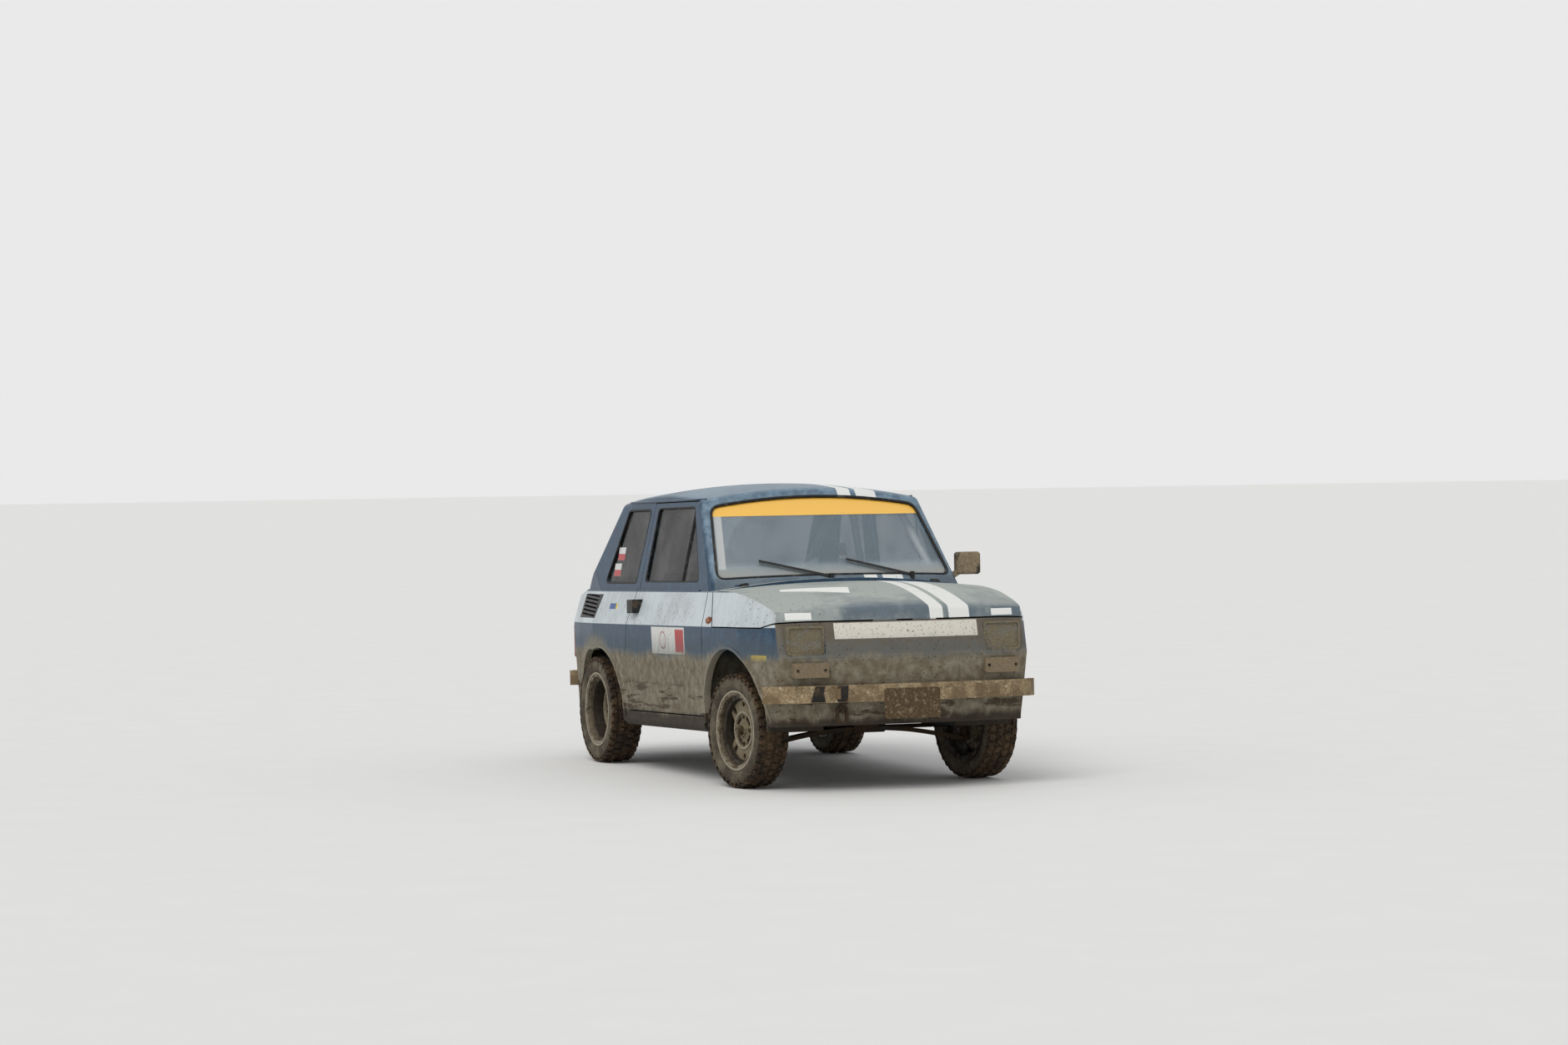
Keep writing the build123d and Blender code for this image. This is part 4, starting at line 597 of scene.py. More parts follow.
lamp_glass = caked("lamp_glass", tint(112, 108, 96), tint(132, 121, 98), 0.62, 0.2, scale=26)
amber_lens = caked("amber_lens", tint(132, 100, 70), tint(138, 122, 98), 0.95, 0.35, scale=30)
red_lens = caked("red_lens", tint(120, 18, 16), tint(104, 88, 66), 0.45, 0.2, scale=24)
bumper_mud = caked("bumper_mud", tint(108, 90, 64), tint(158, 138, 106), 0.62, 0.6, scale=11, stones=0.7)
plate_mud = caked("plate_mud", tint(124, 106, 80), tint(92, 73, 50), 0.75, 0.7, scale=40, stones=0.25)
black_plastic = caked("black_plastic", tint(24, 24, 25), tint(86, 76, 62), 0.25, 0.45, scale=18)
mirror_mud = caked("mirror_mud", tint(44, 42, 40), tint(150, 134, 108), 0.85, 0.5, scale=20)
dark_steel = caked("dark_steel", tint(40, 36, 32), tint(74, 58, 42), 0.7, 0.6, 0.3, scale=16)
cast_metal = caked("cast_metal", tint(110, 106, 98), tint(84, 68, 50), 0.5, 0.5, 0.7, scale=14)
print("muddy finishes ready")

# %% Tube and shell paint


def scuffed(name, roughness, noise, clean, rubbed, limits, share, depth):
    """A smooth paint, rubbed here and there to another colour. noise is its scale and detail."""
    look = Look(name, Roughness=roughness)
    scuff = look.noise(*noise)
    return look.surface(Base_Color=look.mix(scuff.ramp(*limits) * share, clean, rubbed),
                        Normal=look.bump(scuff, depth, 0.3))


cage_paint = scuffed("cage_paint", 0.35, (30, 4), tint(188, 190, 188), tint(120, 116, 106), (0.5, 0.75), 0.4, 0.0005)
shell_black = scuffed("seat_shell_black", 0.3, (140, 3), tint(24, 24, 26), tint(40, 40, 43), (0.4, 0.6), 1, 0.0004)
print("smooth finishes ready")

# %% Which node wears what
FINISHES = [
    (lamp_glass, ["headlamps"]), (amber_lens, ["front_indicators"]), (red_lens, ["tail_lamps"]),
    (bumper_mud, ["front_bumper", "rear_bumper"]), (mirror_mud, ["mirror_left"]), (plate_mud, ["number_plate"]),
    (black_plastic, ["side_louvres", "dashboard", "door_handle_left", "door_handle_right", "wipers",
                     "steering_wheel"]),
    (dark_steel, ["tow_eye", "drive_shafts", "silencer", "rear_suspension", "front_suspension", "steering_rack",
                  "track_rod", "knuckle_left", "knuckle_right"]),
    (cast_metal, ["engine_block", "gearbox"]), (cage_paint, ["roll_cage"]), (shell_black, ["seats"])]
for finish, worn_by in FINISHES:
    wear(worn_by, finish)
print("hard finishes on", sum(len(worn_by) for _, worn_by in FINISHES), "nodes")

# %% [markdown]
# ## Wheels
# Each wheel's finish depends on how far a point is from its own axle: a chipped bright edge, muddy spokes and painted
# shade deep inside the rim. The front wheels stand steered a little, so each wheel has its own centre and axle
# direction.

# %% Where the wheels stand
REST_STEER = radians(7.5)
PIN_X, SPINDLE, REAR_X = 508, 63, 601.5


def wheel_frame(axle, side):
    """The place of a wheel: its own +X points out along the axle."""
    if axle == "front":
        hub = at(side * (PIN_X + SPINDLE * cos(REST_STEER)), -6.45 + side * SPINDLE * sin(REST_STEER), 263.92)
        steer = Matrix.Rotation(REST_STEER, 4, "Z")
    else:
        hub, steer = at(side * REAR_X, 1833.0, 308.88), Matrix.Identity(4)
    outward = Matrix.Identity(4) if side > 0 else Matrix.Rotation(pi, 4, "Z")
    return Matrix.Translation(hub) @ Matrix.Rotation(-RAKE, 4, "X") @ steer @ outward


SIDES = (("left", 1), ("right", -1))
wheels = {(axle, name): wheel_frame(axle, side) for axle in ("front", "rear") for name, side in SIDES}
for key, place in wheels.items():
    print(key, [round(v, 3) for v in place.translation])

# %% [markdown]
# Rims and rubber take their colour by rings round the axle. The distance from the axle is what is left of a point's
# distance from the hub once the part along the axle is taken off.

# %% Distance from the axle


def from_axle(look, place):
    """How far a point is from the wheel's axle, how far out along it, and how much the face looks outwards."""
    hub, axle = place.translation, place.to_3x3() @ Vector((1, 0, 0))
    away = look.node("ShaderNodeVectorMath", {"operation": "SUBTRACT"}, {0: look.own(), 1: hub})
    out = look.dot(away, axle)
    return (look.dot(away, away) - out * out).math("SQRT"), out, look.dot(look.facing(), axle)


print("axle of a front wheel", [round(v, 3) for v in wheels["front", "left"].to_3x3() @ Vector((1, 0, 0))])

# %% Rim and rubber finishes


def rim_look(name, place, ring):
    """Chipped paint on the rim's edge and on a ring, drier mud on what faces out, and painted shade deep in the
    barrel.
    """
    look = Look(name, Metallic=0.35)
    radius, out, outwards = from_axle(look, place)
    broad, fine = look.noise(22, 5, 0.65), look.noise(130, 4, 0.7)
    paint = look.mix(fine.ramp(0.4, 0.7), tint(132, 122, 102), tint(96, 84, 66))
    mud = (broad * 0.7 + fine * 0.3).ramp(0.44, 0.58)
    colour = look.mix(mud * 0.85, paint, look.mix(fine, tint(86, 70, 50), tint(48, 38, 28)))
    dry = outwards.ramp(0.6, 0.95) * (broad * 0.4 + fine * 0.6).ramp(0.38, 0.56) * radius.ramp(0.15, 0.12)
    colour = look.mix(dry * 0.75, colour, tint(142, 128, 102))
    # Deep inside the barrel the colour is darkened as painted shade.
    barrel_shade = radius.ramp(0.133, 0.142) * out.ramp(0.058, 0.04)
    colour = look.mix(barrel_shade * 0.85, colour, tint(34, 27, 21))
    bright = radius.within(0.1745, 0.19, 0.001).most(radius.within(*ring, 0.002)) * out.ramp(-0.03, 0.0)
    chips = bright * (fine * 0.6 + broad * 0.4).ramp(0.4, 0.52)
    colour = look.mix(chips * 0.7, colour, tint(176, 167, 148))
    return look.surface(Base_Color=colour, Roughness=0.45 + mud * 0.45,
                        Normal=look.bump(fine * mud + broad, 0.002, 0.6))


def rubber_look(name, place):
    """Grey walls with moulded rings, and a muddy tread."""
    look = Look(name, Specular_IOR_Level=0.3)
    radius, _, _ = from_axle(look, place)
    broad, fine = look.noise(12, 5, 0.62), look.noise(90, 4, 0.7)
    wall = look.mix((broad * 0.7 + fine * 0.3).ramp(0.4, 0.62), tint(62, 55, 45), tint(104, 96, 80))
    tread = look.mix((broad * 0.5 + fine * 0.5).ramp(0.42, 0.6), tint(34, 27, 20), tint(84, 66, 46))
    rings = (radius * 900).math("SINE") * radius.within(0.2, 0.232, 0.002)
    return look.surface(Base_Color=look.mix(radius.ramp(0.236, 0.246), wall, tread), Roughness=0.78 + fine * 0.18,
                        Normal=look.bump(fine + rings * 0.12, 0.002, 0.6))


RIM_RINGS = {"front": (0.076, 0.088), "rear": (0.103, 0.114)}
rubber = {}
for (axle, name), place in wheels.items():
    wear([f"rim_{axle}_{name}"], rim_look(f"rim_{axle}_{name}_paint", place, RIM_RINGS[axle]))
    rubber[axle, name] = rubber_look(f"tyre_{axle}_{name}_rubber", place)
print("wheel finishes ready")

# %% [markdown]
# ## Geometry Nodes: rings of like pieces
# A tyre's lugs and a hub's nuts are the same thing many times round an axle. A Geometry Nodes tree takes one piece,
# and for each step of a count it works out the turn, the place and a little random tilt. Its sizes are named inputs,
# so the same tree makes every ring.

# %% A tree with named inputs


class Recipe(Web):
    """A Geometry Nodes tree. It takes a mesh and named sizes, and ends in real geometry with a material."""

    def __init__(self, name, inputs):
        super().__init__(bpy.data.node_groups.new(name, "GeometryNodeTree"))
        add = self.tree.interface.new_socket
        add(name="Geometry", in_out="INPUT", socket_type="NodeSocketGeometry")
        for label, kind, value in inputs:
            add(name=label, in_out="INPUT", socket_type=f"NodeSocket{kind}").default_value = value
        add(name="Material", in_out="INPUT", socket_type="NodeSocketMaterial")
        add(name="Geometry", in_out="OUTPUT", socket_type="NodeSocketGeometry")
        self.given = self.tree.nodes.new("NodeGroupInput")

    def take(self, *labels):
        return [Wire(self, self.given.outputs[label]) for label in labels]

    def end(self, geometry):
        real = self.node("GeometryNodeRealizeInstances", sockets={0: geometry})
        dressed = self.node("GeometryNodeSetMaterial", sockets={0: real, "Material": self.take("Material")[0]})
        self.node("NodeGroupOutput", sockets={0: dressed})
        print(self.tree.name, "has", len(self.tree.nodes), "nodes")


def grown(start, recipe, look, **sizes):
    """Run a tree on a mesh with these sizes, and return the plain mesh that comes out."""
    holder = bpy.data.objects.new("growing", start)
    bpy.context.scene.collection.objects.link(holder)
    modifier = holder.modifiers.new("grow", "NODES")
    modifier.node_group = recipe.tree
    sockets = {s.name: s.identifier for s in recipe.tree.interface.items_tree if s.in_out == "INPUT"}
    for name, value in sizes.items():
        modifier[sockets[name]] = value
    modifier[sockets["Material"]] = look.material
    graph = bpy.context.evaluated_depsgraph_get()
    mesh = bpy.data.meshes.new_from_object(holder.evaluated_get(graph), depsgraph=graph)
    bpy.data.objects.remove(holder)
    return mesh


print("recipes ready")

# %% A ring of pieces
ring_recipe = Recipe("ring_of_pieces", [("Count", "Int", 8), ("Radius", "Float", 0.1), ("Along", "Float", 0.0),
                                        ("Phase", "Float", 0.0), ("Twist", "Float", 0.0), ("Wobble", "Float", 0.0),
                                        ("Seed", "Int", 1)])
count, radius, along, phase, twist, wobble, seed, piece = ring_recipe.take(
    "Count", "Radius", "Along", "Phase", "Twist", "Wobble", "Seed", "Geometry")
turn = ring_recipe.node("GeometryNodeInputIndex") / count * (2 * pi) + phase
spot = ring_recipe.vector(along, turn.math("SINE") * -1 * radius, turn.math("COSINE") * radius)
tilt = ring_recipe.node("FunctionNodeRandomValue", {"data_type": "FLOAT"}, {2: wobble * -1, 3: wobble, "Seed": seed},
                        out=1)
points = ring_recipe.node("GeometryNodePoints", sockets={"Count": count, "Position": spot})
placed = ring_recipe.node("GeometryNodeInstanceOnPoints", sockets={"Points": points, "Instance": piece})
for angles in (ring_recipe.vector(turn, 0.0, 0.0), ring_recipe.vector(0.0, tilt, twist + tilt)):
    placed = ring_recipe.node("GeometryNodeRotateInstances", sockets={"Instances": placed, "Rotation": angles})
ring_recipe.end(placed)

# %% [markdown]
# ## Tyres
# The rubber is a turned shape: a profile run round the axle. Its tread is rings of blocks with rounded edges. The
# blocks of neighbouring rings stand half a step apart and are twisted, as on a mud tyre. Carcass and blocks are
# joined into one mesh, which takes the place of the plain CAD tyre.

# %% Mesh helpers


def mesh_of(name, points, faces):
    mesh = bpy.data.meshes.new(name)
    mesh.from_pydata([tuple(p) for p in points], [], faces)
    return mesh


def mesh_from(build, name):
    """The plain mesh of a bmesh, which is freed."""
    mesh = bpy.data.meshes.new(name)
    build.to_mesh(mesh)
    build.free()
    return mesh


def quads(rows, n, closed_rows, closed_ring):
    """The faces between neighbouring rows of n points, where rows and points may each run round in a ring."""
    return [(k * n + i, k * n + (i + 1) % n, (k + 1) % rows * n + (i + 1) % n, (k + 1) % rows * n + i)
            for k in range(rows if closed_rows else rows - 1) for i in range(n if closed_ring else n - 1)]


def turned_ring(profile, steps):
    """A closed (along, radius) outline run round the X axis."""
    angles = [2 * pi * k / steps for k in range(steps)]
    points = [(along, -r * sin(angle), r * cos(angle)) for angle in angles for along, r in profile]
    return mesh_of("turned", points, quads(steps, len(profile), True, True))


def block(length, width, height, corner, top_share=0.82):
    """A block that stands on z = 0 and narrows to a chamfered top."""
    build = bmesh.new()
    bmesh.ops.create_cube(build, size=1)
    for v in build.verts:
        share = top_share if v.co.z > 0 else 1
        v.co = Vector((v.co.x * length * share, v.co.y * width * share, (v.co.z + 0.5) * height))
    top = [e for e in build.edges if all(v.co.z > height * 0.5 for v in e.verts)]
    bmesh.ops.bevel(build, geom=top, offset=corner, segments=1, affect="EDGES")
    return mesh_from(build, "block")


print("a block has", len(block(1, 1, 1, 0.1).polygons), "faces")

# %% One piece from many meshes


def one_piece(name, meshes, look, body, smooth, place=None):
    """Join meshes into one object with outward faces, put it at a place and ride it on its body."""
    build = bmesh.new()
    for mesh in meshes:
        build.from_mesh(mesh)
    bmesh.ops.recalc_face_normals(build, faces=build.faces[:])
    joined = mesh_from(build, name)
    joined.materials.clear()
    joined.materials.append(look.material)
    for face in joined.polygons:
        face.use_smooth = True
    joined.set_sharp_from_angle(angle=radians(smooth))
    if place:
        joined.transform(place)
    piece = bpy.data.objects.new(name, joined)
    bpy.context.scene.collection.objects.link(piece)
    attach(piece, body)
    return piece


print("joining ready")

# %% Rings of lugs
TYRE_HALF = {"front": (0.0617, 0.077), "rear": (0.0667, 0.081)}
LUG_ROWS = [(-0.059, 0.0, 0.12), (-0.021, 0.5, -0.28), (0.021, 0.0, 0.28), (0.059, 0.5, -0.12)]
LUG_SIZE = (0.03, 0.033)
LUGS = 38
TREAD_BASE, LUG_TOP = 0.2535, 0.2634
WALL_LUG, WALL_LUG_RADIUS = (0.006, 0.02, 0.013), 0.238
REAR_SPREAD = 0.004


def tyre_profile(half, wide):
    """The rubber's outline, from one seat round the tread to the other."""
    outer = [(half - 0.004, 0.1655), (half, 0.168), (half, 0.1848), (half + 0.007, 0.19), (wide - 0.003, 0.2),
             (wide, 0.212), (wide - 0.001, 0.226), (wide - 0.004, 0.238), (wide - 0.01, 0.247), (wide - 0.02, 0.252)]
    return outer + [(0.0, TREAD_BASE)] + [(-a, r) for a, r in reversed(outer)]


def tread(axle, wide, look):
    """Four rings of twisted lugs, and a ring of small ones on each shoulder."""
    rings = []
    for row, (along, phase, twist) in enumerate(LUG_ROWS):
        shoulder = abs(along) > 0.04
        radius = TREAD_BASE - (0.004 if shoulder else 0.0015)
        lug = block(*LUG_SIZE, LUG_TOP - radius - (0.0035 if shoulder else 0), 0.0025)
        spread = (REAR_SPREAD if axle == "rear" else 0) * (1 if along > 0 else -1)
        rings.append(grown(lug, ring_recipe, look, Count=LUGS, Radius=radius, Along=along + spread,
                           Phase=phase * 2 * pi / LUGS, Twist=twist, Wobble=0.035, Seed=row + 3))
    for side in (-1, 1):
        rings.append(grown(block(*WALL_LUG, 0.0015), ring_recipe, look, Count=LUGS, Radius=WALL_LUG_RADIUS,
                           Along=side * (wide - 0.0035), Phase=pi / LUGS * (1 - side) / 2, Twist=0.0, Wobble=0.02,
                           Seed=9))
    return rings


print("lugs on a tyre", LUGS * (len(LUG_ROWS) + 2))

# %% The four tyres
for (axle, name), place in wheels.items():
    half, wide = TYRE_HALF[axle]
    look = rubber[axle, name]
    meshes = [turned_ring(tyre_profile(half, wide), 72)] + tread(axle, wide, look)
    tyre = one_piece(f"muddy_tyre_{axle}_{name}", meshes, look, f"wheel_{axle}_{name}", 32, place)
    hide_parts(f"tyre_{axle}_{name}")
    print(tyre.name, len(tyre.data.polygons), "faces")

# %% [markdown]
# ## Wheel nuts and caps
# Four nuts hold each front wheel on its flange, and a pressed cap closes the hub. A nut is a six-sided block with its
# top edges broken, and the ring tree repeats it.

# %% Nuts
NUT_RINGS = {"front": (0.0615, 0.0195, 0.032), "rear": (0.045, -0.005, 0.002)}


def boss(sides, radius, height, corner):
    """A round or many-sided boss that stands on z = 0, with its top edge broken."""
    build = bmesh.new()
    bmesh.ops.create_cone(build, cap_ends=True, segments=sides, radius1=radius, radius2=radius, depth=height)
    top = [e for e in build.edges if all(v.co.z > 0 for v in e.verts)]
    bmesh.ops.bevel(build, geom=top, offset=corner, segments=2, affect="EDGES")
    build.transform(Matrix.Translation((0, 0, height / 2)))
    return mesh_from(build, "boss")


TO_AXLE = Matrix.Rotation(pi / 2, 4, "Y")
nut_steel = caked("nut_steel", tint(120, 110, 92), tint(92, 76, 54), 0.6, 0.4, 0.7, scale=60)
for (axle, name), place in wheels.items():
    radius, nuts_out, cap_out = NUT_RINGS[axle]
    nut, cap = boss(6, 0.0095, 0.012, 0.0015), boss(24, 0.024, 0.02, 0.006)
    nut.transform(TO_AXLE)
    cap.transform(Matrix.Translation((cap_out, 0, 0)) @ TO_AXLE)
    nuts = grown(nut, ring_recipe, nut_steel, Count=4, Radius=radius, Along=nuts_out, Phase=0.0, Twist=0.0,
                 Wobble=0.0, Seed=1)
    one_piece(f"wheel_nuts_{axle}_{name}", [nuts, cap], nut_steel, f"wheel_{axle}_{name}", 30, place)
print("nuts on", len(wheels), "wheels")

# %% [markdown]
# ## Seals
# Every window sits in a black rubber seal, a soft bead that covers the joint of glass and sheet. It follows the
# window's outline over a curved surface, so the outline is worked out as points on that surface, and a Geometry Nodes
# tree sweeps a round profile along it.

# %% A bead along a path
bead_recipe = Recipe("bead_along_path", [("Radius", "Float", 0.006), ("Flat", "Float", 0.7)])
radius, flat, wire = bead_recipe.take("Radius", "Flat", "Geometry")
line = bead_recipe.node("GeometryNodeMeshToCurve", sockets={0: wire})
ring = bead_recipe.node("GeometryNodeCurvePrimitiveCircle", sockets={"Resolution": 8, "Radius": radius})
pressed = bead_recipe.node("GeometryNodeTransform", sockets={"Geometry": ring,
                                                             "Scale": bead_recipe.vector(flat, 1.0, 1.0)})
bead_recipe.end(bead_recipe.node("GeometryNodeCurveToMesh",
                                 sockets={"Curve": line, "Profile Curve": pressed, "Fill Caps": True}))


def bead(name, points, radius, look, body, closed=True, flat=0.8):
    """A rubber or metal bead along points."""
    wire = bpy.data.meshes.new("wire")
    count = len(points)
    edges = [(k, (k + 1) % count) for k in range(count if closed else count - 1)]
    wire.from_pydata([tuple(p) for p in points], edges, [])
    return one_piece(name, [grown(wire, bead_recipe, look, Radius=radius, Flat=flat)], look, body, 60)


# %% Outlines with turned corners


def turned(before, here, after, reach, steps):
    """The curve that turns a corner, starting and ending within reach of it."""
    start, end = here + (before - here).normalized() * reach, here + (after - here).normalized() * reach
    shares = [i / steps for i in range(steps + 1)]
    return [start * (1 - s) ** 2 + here * 2 * s * (1 - s) + end * s ** 2 for s in shares]


def rounded(corners, radius):
    """A flat outline with its corners turned on a radius."""
    path = []
    count = len(corners)
    for k in range(count):
        before, here, after = (Vector(corners[j % count]) for j in (k - 1, k, k + 1))
        a, b = (before - here).normalized(), (after - here).normalized()
        reach = radius / max(0.2, (a - b).length / (a + b).length)
        reach = min(reach, (before - here).length * 0.45, (after - here).length * 0.45)
        path += turned(before, here, after, reach, 5)
    return path


def spaced(path, step):
    """More points on the long runs, so that a swept bead can follow a curved surface."""
    dense = []
    for k, here in enumerate(path):
        after = path[(k + 1) % len(path)]
        count = max(1, int((after - here).length / step))
        dense += [here.lerp(after, i / count) for i in range(count)]
    return dense


def bowed(opening, radius=40, step=30, n=12):
    """A screen's outline from its corners and middles, with a bowed sill and header."""
    (foot_x, foot_z), foot_mid, (head_x, head_z), head_mid = opening
    xs = [1 - 2 * k / n for k in range(n + 1)]
    head = [(head_x * s, head_z + (head_mid - head_z) * (1 - s * s)) for s in xs]
    foot = [(-foot_x * s, foot_z + (foot_mid - foot_z) * (1 - s * s)) for s in xs]
    outline = [Vector(p) for p in head + foot]
    path = []
    for k, here in enumerate(outline):
        is_corner = k % (n + 1) in (0, n)
        path += turned(outline[k - 1], here, outline[(k + 1) % len(outline)], radius, 4) if is_corner else [here]
    return spaced(path, step)


seal_rubber = caked("seal_rubber", tint(20, 20, 21), tint(92, 88, 78), 0.3, 0.55, scale=30)
print("outline helpers ready")

# %% Places on the glass
SCREEN_R, SCREEN_SLOPE, SCREEN_MID, SCREEN_FOOT = 2865, 0.805, 237, 948
REAR_R, REAR_SLOPE, REAR_MID, REAR_FOOT = 3400, -1.037, 2190, 903
SIDE_FOOT, SIDE_FOOT_X = 893, 628
GREEN_LEAN = (628 - 556) / (1330 - 893)
INSET = 4


def screen_point(x, z):
    """A point on the windscreen's frame, a little sunk."""
    y = SCREEN_MID + SCREEN_R - sqrt(SCREEN_R ** 2 - x * x) + (z - SCREEN_FOOT) * SCREEN_SLOPE
    return at(x, y + INSET * hypot(1, SCREEN_SLOPE), z)


def rear_point(x, z):
    """A point on the rear window's frame, a little sunk."""
    y = REAR_MID - (REAR_R - sqrt(REAR_R ** 2 - x * x)) + (z - REAR_FOOT) * REAR_SLOPE
    return at(x, y - INSET * hypot(1, REAR_SLOPE), z)


def side_point(side, y, z, inset=INSET):
    """A point on the side windows' plane."""
    return at(side * (SIDE_FOOT_X - GREEN_LEAN * (z - SIDE_FOOT) - inset), y, z)


print("screen foot at", screen_point(0, SCREEN_FOOT))

# %% Seals round the windows
SCREEN_OPENING = ((588, 950), 962, (519, 1290), 1334)
REAR_OPENING = ((548, 952), 956, (486, 1306), 1318)
DOOR_WINDOW = [(462, 940), (652, 1294), (1160, 1294), (1226, 940)]
QUARTER_WINDOW = [(1354, 934), (1262, 1290), (1590, 1290), (1818, 934)]
bead("screen_seal", [screen_point(*p) for p in bowed(SCREEN_OPENING)], 0.0085, seal_rubber, "body")
bead("rear_seal", [rear_point(*p) for p in bowed(REAR_OPENING)], 0.0085, seal_rubber, "body")
for name, side in SIDES:
    for label, window_corners, corner, thick, body in (("door", DOOR_WINDOW, 22, 0.006, f"door_{name}"),
                                                       ("quarter", QUARTER_WINDOW, 26, 0.007, "body")):
        path = [side_point(side, *p) for p in spaced(rounded(window_corners, corner), 40)]
        bead(f"{label}_seal_{name}", path, thick, seal_rubber, body)
print("seals ready")

# %% [markdown]
# ## Fittings on the skin
# Small fittings sit on curved panels. A line is shot at the painted body, and where it lands gives both the place and
# the way the sheet faces there, so a lens or a catch sits flush.

# %% Find the body's skin
skin_points, skin_faces = [], []
for name in PANELS:
    first = len(skin_points)
    mesh = nodes[name].data
    skin_points += [v.co.copy() for v in mesh.vertices]
    skin_faces += [tuple(first + i for i in f.vertices) for f in mesh.polygons]
skin_tree = BVHTree.FromPolygons(skin_points, skin_faces)


def on_skin(start, toward):
    """The place and the facing where a line first meets the painted body, or nothing where it misses."""
    place, outward, _, _ = skin_tree.ray_cast(start, Vector(toward).normalized())
    if place is not None and outward.dot(Vector(toward)) > 0:
        outward = -outward
    return place, outward


def standing(place, outward, along):
    """A frame whose +Z points out of the skin and whose +Y runs along it."""
    side_axis = Vector(along).cross(outward).normalized()
    axes = Matrix((side_axis, outward.cross(side_axis), outward)).transposed().to_4x4()
    return Matrix.Translation(place) @ axes


print("skin faces", len(skin_faces))

# %% [markdown]
# A repeater lamp is an oval amber lens on each wing. A rubber catch holds each rear corner of the bonnet, and each
# front indicator is held by two screws.

# %% Finishes of the fittings
repeater_lens = caked("repeater_lens", tint(150, 82, 40), tint(96, 78, 58), 0.45, 0.25, scale=60)
catch_rubber = caked("catch_rubber", tint(26, 25, 24), tint(104, 98, 86), 0.35, 0.6, scale=50)
screw_steel = caked("screw_steel", tint(60, 52, 42), tint(40, 33, 25), 0.5, 0.5, 0.5, scale=80)
print("fittings' finishes ready")

# %% Repeater lamps, bonnet catches and lamp screws
FLUSH = 0.001
LAMP_X, LAMP_Y, LAMP_Z, SCREW_STEP = 466, -559.5, 543, 66
for name, side in SIDES:
    lens = boss(28, 0.017, 0.009, 0.004)
    lens.transform(Matrix.Diagonal((1, 1.8, 1, 1)))
    place, outward = on_skin(at(side * 800, 190, 766), (-side, 0, 0))
    one_piece(f"repeater_{name}", [lens], repeater_lens, "body", 30,
              standing(place - outward * FLUSH, outward, (0, 1, 0)))
    foot, pull = block(0.03, 0.05, 0.007, 0.002), block(0.05, 0.018, 0.014, 0.004)
    place, outward = on_skin(at(side * 481, 232, 1100), (0, 0, -1))
    one_piece(f"bonnet_catch_{name}", [foot, pull], catch_rubber, "body", 30,
              standing(place - outward * FLUSH, outward, (0.25 * side, 1, 0)))
    screws = [boss(16, 0.0065, 0.003, 0.001) for _ in range(2)]
    for screw, step in zip(screws, (-SCREW_STEP, SCREW_STEP)):
        screw.transform(standing(at(side * LAMP_X + step, LAMP_Y, LAMP_Z), Vector((0, -1, 0)), (0, 0, 1)))
    one_piece(f"lamp_screws_{name}", screws, screw_steel, "body", 30)
print("fittings ready")

# %% [markdown]
# ## Straps and stones on the bumper
# Dark straps are wound round the bumper on the car's right. Each is a band whose cross section runs round the bar.

# %% Straps
BUMPER_TURN, BUMPER_MID, BUMPER_TURN_Y = 560, -592, -538
BUMPER_SAG = BUMPER_TURN_Y - BUMPER_MID
BUMPER_R = (BUMPER_TURN ** 2 + BUMPER_SAG ** 2) / (2 * BUMPER_SAG)
BUMPER_Z, BUMPER_DEPTH = (397, 474), 34
STRAPS = ((-472, -428, 24), (-436, -404, -14), (-352, -304, 6))


def bumper_y(x):
    """The bumper's front face at x, in the level drawing."""
    return BUMPER_MID + BUMPER_R - sqrt(BUMPER_R ** 2 - x * x)


def wrapped(x_low, x_high, slant, over=2.2, corner=7, steps=4):
    """A strap's band round the bar, leaning by slant from foot to top."""
    low, high = BUMPER_Z[0] - over, BUMPER_Z[1] + over
    front, back = -over, BUMPER_DEPTH + over
    ring = [(front, low + corner), (front, high - corner), (front + corner, high), (back - corner, high),
            (back, high - corner), (back, low + corner), (back - corner, low), (front + corner, low)]
    points = []
    for k in range(steps + 1):
        for depth, z in ring:
            x = x_low + (x_high - x_low) * k / steps + slant * (z - low) / (high - low)
            points.append(at(x, bumper_y(x) + depth, z))
    n = len(ring)
    ends = [tuple(range(n)), tuple(steps * n + i for i in range(n))]
    return mesh_of("strap", points, quads(steps + 1, n, False, True) + ends)


strap_cloth = caked("strap_cloth", tint(30, 27, 24), tint(84, 68, 50), 0.35, 0.8, scale=40)
one_piece("bumper_straps", [wrapped(*strap) for strap in STRAPS], strap_cloth, "body", 50)
print("straps", len(STRAPS))

# %% [markdown]
# Grit and small stones stick in the mud on the bar. A Geometry Nodes tree scatters them over a sheet laid on the
# bar's face: points at random, a rough ball on each, and a random size and lie for every ball.

# %% A scatter of stones
stone_recipe = Recipe("stones_on_a_sheet", [("Density", "Float", 3000.0), ("Smallest", "Float", 0.001),
                                            ("Largest", "Float", 0.004), ("Seed", "Int", 1)])
sheet, density, smallest, largest, seed = stone_recipe.take("Geometry", "Density", "Smallest", "Largest", "Seed")
spread = stone_recipe.node("GeometryNodeDistributePointsOnFaces",
                           sockets={"Mesh": sheet, "Density": density, "Seed": seed}, out="Points")
stone = stone_recipe.node("GeometryNodeMeshIcoSphere", sockets={"Radius": 1.0, "Subdivisions": 1})
grade = stone_recipe.node("FunctionNodeRandomValue", {"data_type": "FLOAT"}, {2: smallest, 3: largest, "Seed": seed},
                          out=1)
shape = stone_recipe.node("ShaderNodeVectorMath", {"operation": "SCALE"}, {0: (1.3, 1.0, 0.7), "Scale": grade})
